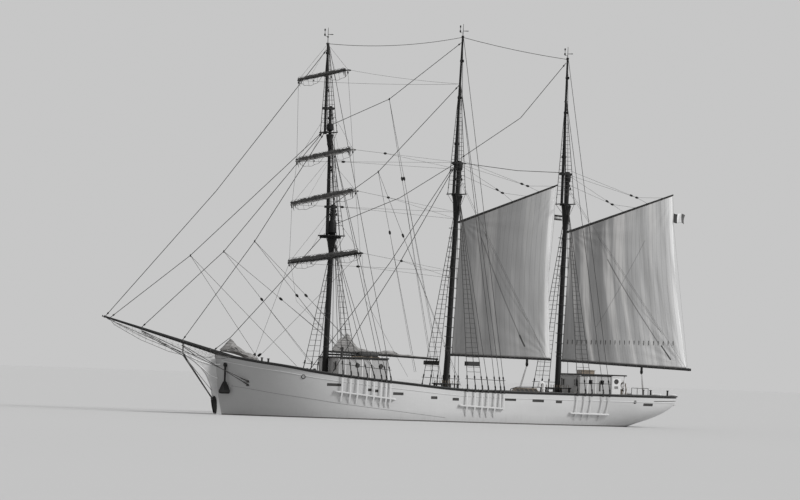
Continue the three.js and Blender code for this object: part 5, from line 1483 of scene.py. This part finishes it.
# Mast furniture: heights of the bands and of the blocks on each mast, and where the instruments stand at the
# trucks.
mastFittings = {
    "foreLower": ((4.35, 6.4, 8.6, 9.4, 12.8), (10.6, 12.6)),
    "foreTop": ((12.3, 14.6, 17.0, 18.8), (15.3, 16.9, 18.5)),
    "foreTopgallant": ((19.4, 22.2, 23.4), (20.2, 22.5)), "mainLower": ((4.4, 12.75, 14.7, 15.6), (13.3,
            15.2)),
    "mainTop": ((16.6, 18.9, 21.4, 22.9), (17.4, 20.3, 22.6)),
    "mizzenLower": ((4.3, 12.5, 14.5, 15.4), (13.0, 15.0)),
    "mizzenTop": ((16.3, 18.4, 20.9, 22.2), (17.0, 19.8, 22.0)),
}
trucks = ((8.015, 23.97), (-1.01, 24.80), (-8.235, 23.85))
instrument = ((0, 0.02), (0.02, 0.05), (0.12, 0.05), (0.15, 0.015), (0.30, 0.015), (0.32, 0.045),
              (0.42, 0.045),
              (0.45, 0.01))


def makeMastGear():
    kit = Kit()
    for name, (bands, _) in mastFittings.items():
        for z in bands:
            x, radius = mastAt(name, z)
            kit.band((x, 0, z), upright, 0.045, radius, 0.016, ease=0.005)
    # wedges and boots where the masts pass the deck
    for name in ("foreLower", "mainLower", "mizzenLower"):
        z = deckZ(masts[name][0][0])
        x, radius = mastAt(name, z)
        kit.turned([(-0.02, radius + 0.14), (0.10, radius + 0.12), (0.14, radius + 0.02), (0.16, radius)],
                   (x, 0, z),
                   upright, "stem", 24)
    # blocks hung about the doublings
    for name, (_, heights) in mastFittings.items():
        for n, z in enumerate(heights):
            x, radius = mastAt(name, z)
            for side, way in ((1, -1), (-1, -1), (1, 1)):
                if not (name.startswith("fore") and way > 0 and n == 0):
                    spot = (x + way * (radius + 0.05), side * (0.05 + 0.02 * n), z - 0.1 * side)
                    kit.pulley(spot, upright, 0.19)
    # ladder on the after side of the fore topmast
    def behind(z):
        x, radius = mastAt("foreTop", z)
        return x - radius - 0.06

    for z in np.arange(12.0, 16.9, 0.38):
        kit.tube([(behind(z), -0.16, z), (behind(z), 0.16, z)], 0.012, "iron", 5)
    for side in (1, -1):
        kit.tube([(behind(z), side * 0.16, z) for z in (11.6, 17.0)], 0.012, "iron", 5)
    # wind vane and small instruments beside each staff
    for x, z in trucks:
        kit.tube([(x, 0, z - 0.42), (x - 0.34, 0, z - 0.40)], (0.012, 0.03), "spar", 5)
        kit.tube([(x, 0, z - 0.55), (x + 0.2, 0, z - 0.52)], 0.012, "spar", 5)
        kit.turned(instrument, (x + 0.2, 0, z - 0.52), upright, "spar", 10)
    kit.make("mast_gear", slot="spar_paint")


# Deckhouses: ports with rims and glass, frames, roof beading and doors. eave: how far the roof stands out
# aft, ahead.
houses = (
    {"name": "fore_house", "x": (3.98, 7.17), "half": 1.65, "roof": 3.72, "ports": (5.942, 4.395),
     "round": True,
     "eave": (0.06, 0.06), "door": "fore_door"},
    {"name": "aft_house", "x": (-11.25, -9.08), "half": 1.65, "roof": 3.20, "ports": (-10.45,),
     "round": False,
     "eave": (1.0, 0.08), "door": "aft_door"},
)
portRim = ((-0.03, 0.122), (0.018, 0.122), (0.024, 0.130), (0.018, 0.142), (0.0, 0.145))
portGlass = ((-0.02, 0.124), (0.010, 0.124), (0.010, 0.0))
doorHandle = ((0, 0.012), (0.03, 0.012), (0.035, 0.028), (0.055, 0.028), (0.06, 0.01))


def houseSide(kit, row, side):
    (x0, x1), half, top = row["x"], row["half"], row["roof"]
    for x in row["ports"]:
        if row["round"]:
            for part, finish in ((portRim, "iron"), (portGlass, "dark")):
                kit.turned(part, (x, side * half, top - 0.45), (0, side, 0), finish, 28)
        else:
            kit.slab((x, side * (half + 0.004), top - 0.45 - 0.25), (0.10, 0.012, 0.62), "dark", 0.004)
    # corner posts and panel strips
    strips = [(x, 0.0, 0.09, 0.09, 0.02, "houseLight", 0.03) for x in (x0, x1)]
    strips += [(x, 0.008, 0.07, 0.022, 0.1, "white", 0.008) for x in np.arange(x0 + 0.55, x1 - 0.2, 0.55)
               if min(abs(x - p) for p in row["ports"]) > 0.26]
    for x, out, wide, deep, short, finish, ease in strips:
        kit.slab((x, side * (half + out), (deckZ(x) + top) / 2), (wide, deep, top - deckZ(x) - short), finish,
                 ease)
    middle, long = (x0 + x1) / 2, x1 - x0 + 0.05
    for z, high, finish, ease in ((deckZ(middle) + 0.16, 0.16, "houseDark", 0.01),
                                  (top - 0.05, 0.05, "rail", 0.012)):
        kit.slab((middle, side * (half + 0.012), z), (long, 0.03, high), finish, ease)


def makeHouse(row):
    name, (x0, x1), half, top = row["name"], row["x"], row["half"], row["roof"]
    kit, roof, leaf = Kit(), Kit(), Kit()
    for side in (1, -1):
        houseSide(kit, row, side)
    for side in (1, -1):
        window(kit, (x1, side * 0.85, top - 0.5), (0.26, 0.40), athwart, ahead, 0.06)
    # roof with a rounded edge
    fore, aft, edge, steps = x1 + row["eave"][1], x0 - row["eave"][0], half + 0.06, 18
    outline = ((aft, 0), (aft, 0.04), (aft + 0.02, 0.06), (fore - 0.02, 0.06), (fore, 0.04), (fore, 0))
    roof.rings([[(x, -edge + 2 * edge * n / steps, top + up) for x, up in outline] for n in range(steps + 1)],
               "white")
    for x, y, sx, sy in ((fore, 0, 0.05, 2 * edge + 0.03), (aft, 0, 0.05, 2 * edge + 0.03),
                         ((aft + fore) / 2, edge, fore - aft, 0.05),
                         ((aft + fore) / 2, -edge, fore - aft, 0.05)):
        roof.slab((x, y, top + 0.02), (sx, sy, 0.085), "rail", 0.02)
    roof.make(name + "_deckhead", slot="roof_paint", replaces=(name + "_roof",))
    kit.make(name + "_trim", slot="house_paint")
    # door: framed, with a panel above and a round brass handle
    low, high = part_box(name + "_door")
    y0, y1, z0, z1 = low.y + 0.005, high.y, low.z, high.z
    for z in (z0 + 0.09, (z0 + z1) / 2, z1 - 0.07):
        leaf.slab((x0 + 0.002, (y0 + y1) / 2, z), (0.02, y1 - y0 - 0.04, 0.12), "varnish", 0.006)
    for y in (y0 + 0.07, y1 - 0.07):
        leaf.slab((x0 + 0.002, y, (z0 + z1) / 2), (0.022, 0.10, z1 - z0 - 0.02), "varnish", 0.006)
    leaf.turned(doorHandle, (x0 - 0.005, y1 - 0.09, (z0 + z1) / 2 - 0.12), (-1, 0, 0), "brass", 14)
    leaf.make(name + "_door_frame", row["door"], "varnished_wood")


def window(kit, at, size, along, out, rim):
    axes = tuple(np.array(axis, float) for axis in (along, out, upright))
    wide, high = size
    rows = [(0, -0.025, 0, wide, 0.008, high, "glass", 0.002),
            # dark sheet behind the glass: painted shade of the room behind
            (0, -0.036, 0, wide, 0.004, high, "dark", 0.001)]
    for sign in (1, -1):
        rows.append((0, 0.008, sign * (high / 2 + rim / 2 - 0.012), wide + 2 * rim, 0.03, rim, "houseLight",
                     0.008))
        rows.append((sign * (wide / 2 + rim / 2 - 0.012), 0.008, 0, rim, 0.03, high + rim, "houseLight",
                     0.008))
    for a, b, c, *dims, finish, ease in rows:
        kit.slab(np.array(at) + axes[0] * a + axes[1] * b + axes[2] * c, dims, finish, ease, axes=axes)


raft = ((-0.56, 0.02), (-0.54, 0.13), (-0.48, 0.15), (0.48, 0.15), (0.54, 0.13), (0.56, 0.02))
raftStrap = ((-0.02, 0.15), (-0.018, 0.157), (0.018, 0.157), (0.02, 0.15))
stovePipe = ((0, 0.07), (0.42, 0.07), (0.43, 0.10), (0.55, 0.11), (0.60, 0.03))


def makeRoofGear():
    kit = Kit()
    top, z = 3.78, 3.26
    # rack with two rolled rafts and a spare spar on the fore house, with a rail round its roof and the stove
    # pipe
    for x in (4.2, 4.75, 5.3):
        kit.slab((x, -0.1, top + 0.03), (0.05, 1.9, 0.06), "bare")
    for y in (0.62, 0.18):
        kit.turned(raft, (4.76, y, top + 0.20), ahead, "rubber", 20)
        for x in (4.5, 4.76, 5.02):
            kit.turned(raftStrap, (x, y, top + 0.20), ahead, "dark", 20)
    kit.tube([(3.95, -0.9, top + 0.12), (7.0, -0.9, top + 0.12)], 0.06, "spar", 10)
    for x in (4.05, 5.1, 6.1, 7.05):
        for y in (1.6, -1.6):
            kit.tube([(x, y, top - 0.02), (x, y, top + 0.32)], 0.018, "iron")
    for y in (1.6, -1.6):
        kit.tube([(4.05, y, top + 0.31), (7.05, y, top + 0.31)], 0.016, "iron")
    kit.turned(stovePipe, (6.7, 0.9, top), upright, "iron")
    # skylight with a glazed top on the aft house
    kit.slab((-10.2, 0, z + 0.10), (0.9, 0.8, 0.22), "varnish", 0.02)
    kit.slab((-10.2, 0, z + 0.22), (0.98, 0.88, 0.04), "varnish", 0.015)
    for y in (-0.2, 0.2):
        kit.slab((-10.2, y, z + 0.245), (0.78, 0.32, 0.012), "glass", 0.003)
    for y in (1.6, -1.6):
        kit.tube([(-12.18, y * 0.98, z - 0.05), (-12.18, y * 0.98, deckZ(-12.18))], 0.035, "white", 8)
    kit.make("roof_gear", slot="roof_paint")


lockerPort = ((0.0, 0.16), (0.012, 0.155), (0.014, 0.125), (0.004, 0.12), (0.004, 0.0))
binnacle = ((0, 0.16), (0.05, 0.16), (0.08, 0.12), (0.75, 0.11), (0.80, 0.17), (0.90, 0.17), (1.02, 0.10),
            (1.05, 0.0))
spoke = ((0.05, 0.02), (0.16, 0.015), (0.22, 0.026), (0.28, 0.015), (0.44, 0.018), (0.5, 0.012),
         (0.54, 0.022),
         (0.58, 0.021), (0.6, 0.006))
wheelHub = ((-0.06, 0.0), (-0.06, 0.06), (-0.04, 0.09), (0.04, 0.09), (0.06, 0.07), (0.129, 0.06),
            (0.129, 0.0))
helm = {"x": -12.85, "z": 2.33, "rim": 0.465, "inner": 0.40}


# White lockers abaft the aft house with a round port and a grille, and the gear around the helm.
def makeSternGear():
    kit = Kit()
    low = deckZ(-11.6)
    for side in (1, -1):
        kit.slab((-11.60, side * 1.42, (low + 3.08) / 2), (0.62, 0.42, 3.08 - low), "white", 0.03)
        kit.turned(lockerPort, (-11.6, side * 1.63, 2.83), (0, side, 0), "dark", 20)
        for n in range(5):
            kit.slab((-11.6, side * 1.635, 2.39 + 0.035 * n), (0.26, 0.012, 0.018), "dark", 0.003)
    # stern rails, bollards and fairleads on the rail
    for side in (1, -1):
        rail = [onSide(x, railZ(x), side, -0.08) for x in np.linspace(-12.2, -13.5, 4)]
        kit.tube([(x, y, z + 0.42) for x, y, z in rail], 0.02, "iron")
        for x, y, z in rail:
            kit.tube([(x, y, z - 0.02), (x, y, z + 0.43)], 0.018, "iron")
    for x, high in ((-13.69, 0.34), (-15.14, 0.34), (12.35, 0.22), (12.0, 0.22)):
        for side in (1, -1):
            y = onSide(x, railZ(x), side, -0.05)[1]
            kit.turned([(0, 0.06), (high - 0.06, 0.055), (high - 0.05, 0.085), (high - 0.01, 0.085),
                        (high, 0.0)],
                       (x, y, railZ(x) - 0.005), upright, "iron", 14)
    for x in (-14.3, -15.7):
        for side in (1, -1):
            y = onSide(x, railZ(x), side, -0.06)[1]
            kit.slab((x, y, railZ(x) + 0.05), (0.42, 0.10, 0.10), "white", 0.03, turn=-side * 0.35)
    # binnacle and grating
    kit.turned(binnacle, (-12.1, 0, deckZ(-12.1)), upright, "varnish", 20)
    for n in range(9):
        kit.slab((-13.25, -0.8 + 0.2 * n, deckZ(-13.2) + 0.04), (0.7, 0.06, 0.05), "bare", 0.008)
    for x in (-13.55, -13.25, -12.95):
        kit.slab((x, 0, deckZ(-13.2) + 0.055), (0.06, 1.75, 0.04), "bare", 0.008)
    kit.make("stern_gear", slot="roof_paint")
    wheel = Kit()
    middle = (helm["x"], 0, helm["z"])
    wheel.hoop(middle, ahead, helm["rim"], 0.036, "varnish")
    wheel.hoop(middle, ahead, helm["inner"], 0.012, "brass")
    for n in range(8):
        wheel.turned(spoke, middle, (0, cos(pi * n / 4), sin(pi * n / 4)), "varnish", 10)
    wheel.turned(wheelHub, middle, ahead, "brass", 20)
    wheel.make("helm_wheel", "helm", "varnished_wood", ("steering_wheel",))


railPin = ((-0.16, 0.008), (-0.14, 0.014), (0.02, 0.014), (0.03, 0.022), (0.14, 0.018), (0.17, 0.02),
           (0.18, 0.0))
fifePin = ((-0.16, 0.008), (-0.14, 0.014), (0.02, 0.014), (0.03, 0.022), (0.14, 0.018), (0.18, 0.0))
winchDrum = ((0.0, 0.10), (0.05, 0.14), (0.1, 0.09), (0.2, 0.09), (0.25, 0.14), (0.28, 0.10))
winchBarrel = ((-0.12, 0.18), (-0.10, 0.22), (-0.06, 0.19), (0.06, 0.19), (0.10, 0.22), (0.12, 0.18))
ventPipe = ((0.0, 0.16), (0.04, 0.16), (0.06, 0.10), (0.74, 0.10), (0.76, 0.115), (0.79, 0.115), (0.81, 0.10))


# Waist: coamings and glazing, pinrails and fife rails with pins, winch drums, a handrail and the bent vent.
def makeDeckGear():
    kit = Kit()
    kit.slab((1.8, 0, 1.90), (1.72, 1.72, 0.10), "stem", 0.02)
    for x in (1.15, 1.8, 2.45):
        kit.slab((x, 0, 1.965), (0.10, 1.6, 0.02), "bare", 0.006)
    # deck skylight: sloping glass with bars
    for side in (1, -1):
        normal = np.array((0, side * 0.30, 0.60))
        normal /= np.linalg.norm(normal)
        axes = (ahead, np.array((0, side * 0.6, -0.3)), normal)
        for count, first, out, size, finish, ease in ((5, -6.63, 0.012, (0.22, 0.48, 0.012), "glass", 0.003),
                                                      (6, -6.80, 0.02, (0.04, 0.66, 0.03), "varnish", 0.006)):
            for n in range(count):
                kit.slab(np.array((first + 0.30 * n, side * 0.30, 2.05)) + normal * out, size, finish, ease,
                         axes=axes)
    kit.slab((-6.05, 0, 2.215), (1.64, 0.09, 0.06), "varnish", 0.015)
    # pinrails inside the bulwarks with belaying pins
    for x0, x1 in ((7.9, 4.3), (-0.3, -2.6), (-7.9, -10.2)):
        for side in (1, -1):
            line = [(x, side * (halfBreadth(x, railZ(x)) - 0.24), railZ(x) - 0.14)
                    for x in np.linspace(x0, x1, 8)]
            kit.rings([[(x, y + a * 0.06, z + b * 0.025) for a, b in square] for x, y, z in line], "varnish")
            for t in np.linspace(0.03, 0.97, 11):
                kit.turned(railPin, alongLine(line, t), upright, "varnish", 8)
    # fife rails about the main and mizzen
    for mast in ("mainLower", "mizzenLower"):
        base = deckZ(masts[mast][0][0])
        x = mastAt(mast, base + 0.8)[0]
        for side in (1, -1):
            for dx in (-0.55, 0.5):
                kit.slab((x + dx, side * 0.62, base + 0.45), (0.12, 0.12, 0.9), "rail", 0.015)
            kit.slab((x, side * 0.62, base + 0.86), (1.35, 0.14, 0.06), "rail", 0.015)
        kit.slab((x + 0.5, 0, base + 0.80), (0.14, 1.3, 0.06), "rail", 0.015)
        for n in range(7):
            for side in (1, -1):
                kit.turned(fifePin, (x - 0.5 + 0.16 * n, side * 0.62, base + 0.90), upright, "varnish", 8)
    # winch drums on the bitts and the handrail of the companionway
    for side in (1, -1):
        kit.turned(winchDrum, (11.3, side * 0.74, 2.8), (0, side, 0), "iron", 18)
    kit.turned(winchBarrel, (11.3, 0, 2.8), athwart, "iron", 20)
    kit.tube([(-4.55, 0.5, deckZ(-4.6)), (-4.85, 0.5, 2.15), (-5.25, 0.5, 2.28), (-6.9, 0.5, 2.32),
              (-6.95, 0.5, 1.9)],
             0.03, "rail")
    kit.make("deck_gear", slot="varnished_wood")
    # white pipe bent over at its head, with its mouth facing down and closed by a dark disc: painted shade
    # inside the pipe
    vent = Kit()
    x, y, z = -6.86, 1.0, deckZ(-6.86)
    mouth = (x + 0.30, y, z + 0.90)
    vent.turned(ventPipe, (x, y, z), upright, "white", 24)
    bend = [(x + 0.15 - 0.15 * cos(a), y, z + 1.02 + 0.15 * sin(a)) for a in np.linspace(0.2, pi - 0.1, 10)]
    vent.tube([(x, y, z + 0.78), (x, y, z + 0.98), *bend, mouth], 0.092, "white", 20)
    vent.turned([(0.0, 0.118), (0.04, 0.118), (0.045, 0.095)], mouth, upright, "white", 24)
    vent.turned([(-0.006, 0.0), (-0.006, 0.105), (0.02, 0.105)], mouth, upright, "dark", 24)
    vent.make("vent_cowl", slot="roof_paint", replaces=("cowl_vent",))


# Ensign at the mizzen peak in the lee of the leech, a small flag in the crosstrees, and the boards in the
# shrouds.
def makeFlags():
    def ensignSpot(s, t):
        x = -16.02 - 0.80 * s * (1 - 0.06 * sin(3 * t))
        return (x, 0.04 + 0.07 * sin(9 * s + 2 * t) * s, 13.72 - 0.58 * t - 0.05 * s - 0.04 * sin(7 * s))

    def smallSpot(s, t):
        return (-7.95 - 0.54 * s, -0.62 + 0.03 * sin(8 * s + 2 * t) * s, 13.26 - 0.34 * t - 0.03 * s)

    def grids(down, across, *spots):
        return [[[spot(s, t) for s in np.linspace(0, 1, across)] for t in np.linspace(0, 1, down)]
                for spot in spots]

    ensign, metres = grids(14, 20, ensignSpot, lambda s, t: (0.95 * s, 0.6 * (1 - t)))
    flag = makeCloth("ensign", ensign, metres, "flag", "mizzen_sail_set", 0.003)
    small, metres = grids(10, 14, smallSpot, lambda s, t: (t, 0.54 * s))
    flag = makeCloth("courtesy_flag", small, metres, "flag", "hull", 0.003)
    for name, line, size, finish, body in (
            ("ensign_halyard", [(-15.93, 0.02, 14.86), (-16.02, 0.03, 13.72), (-16.02, 0.03, 13.16),
                                (-17.35, 0.05, 3.86)],
             0.005, "rope", "mizzen_sail_set"),
            ("flag_halyard", [(-7.95, -0.62, 13.90), (-7.95, -0.62, 12.9), (-8.3, -2.9, 2.9)], 0.006, "dark",
             "hull")):
        kit = Kit()
        kit.tube(line, size, finish, 4)
        kit.make(name, body, "rigging_wire")
    boards = Kit()
    aft, fore, z = -1.50, -0.48, 3.62
    middle = (aft + fore) / 2
    for side in (1, -1):
        y = halfBreadth(middle, railZ(middle)) + 0.11 - 1.45 * 0.29
        boards.slab((middle, side * y, z), (fore - aft, 0.03, 0.27), "rail")
        boards.slab((fore - 0.06, side * (y + 0.12), z), (0.03, 0.24, 0.25), "rail", 0.008)
        boards.turned([(-0.08, 0.07), (0.08, 0.07), (0.1, 0.04)], (fore - 0.16, side * (y + 0.12), z),
                      upright, "glass", 14)
    boards.make("light_boards", slot="rail_paint")


makeBow()
makeAnchors()
makeHeaps()
makeMastGear()
for row in houses:
    makeHouse(row)
makeRoofGear()
makeSternGear()
makeDeckGear()
makeFlags()
print("fittings made")

# Studio: a pale floor at the waterline, a pale backdrop of light and one large soft lamp from astern.
studio = {"floorReach": 3000, "floorTone": 0.50, "skyTone": 0.57, "lampPower": 2.75, "lampSoftness": 14,
          "lampFrom": (-0.62, 0.52, 0.58)}


def makeStudio():
    far, pale = studio["floorReach"], studio["floorTone"]
    mesh = bpy.data.meshes.new("floor")
    mesh.from_pydata([(a * far, b * far, 0) for a, b in square], [], [(0, 1, 2, 3)])
    floor = bpy.data.objects.new("floor", mesh)
    scene.collection.objects.link(floor)
    mesh.materials.append(newFinish("floor_pale", plainPaint(pale, pale * 0.96, 0.8, 0.02)))
    world = bpy.data.worlds.new("studio")
    scene.world = world
    world.use_nodes = True
    world.node_tree.nodes["Background"].inputs["Color"].default_value = tone(studio["skyTone"])
    lamp = bpy.data.objects.new("lamp", bpy.data.lights.new("lamp", "SUN"))
    lamp.data.energy, lamp.data.angle = studio["lampPower"], radians(studio["lampSoftness"])
    lamp.rotation_mode = "QUATERNION"
    lamp.rotation_quaternion = Vector(studio["lampFrom"]).to_track_quat("Z", "Y")
    scene.collection.objects.link(lamp)
    scene.view_settings.view_transform = "Standard"


makeStudio()
print("scene complete")
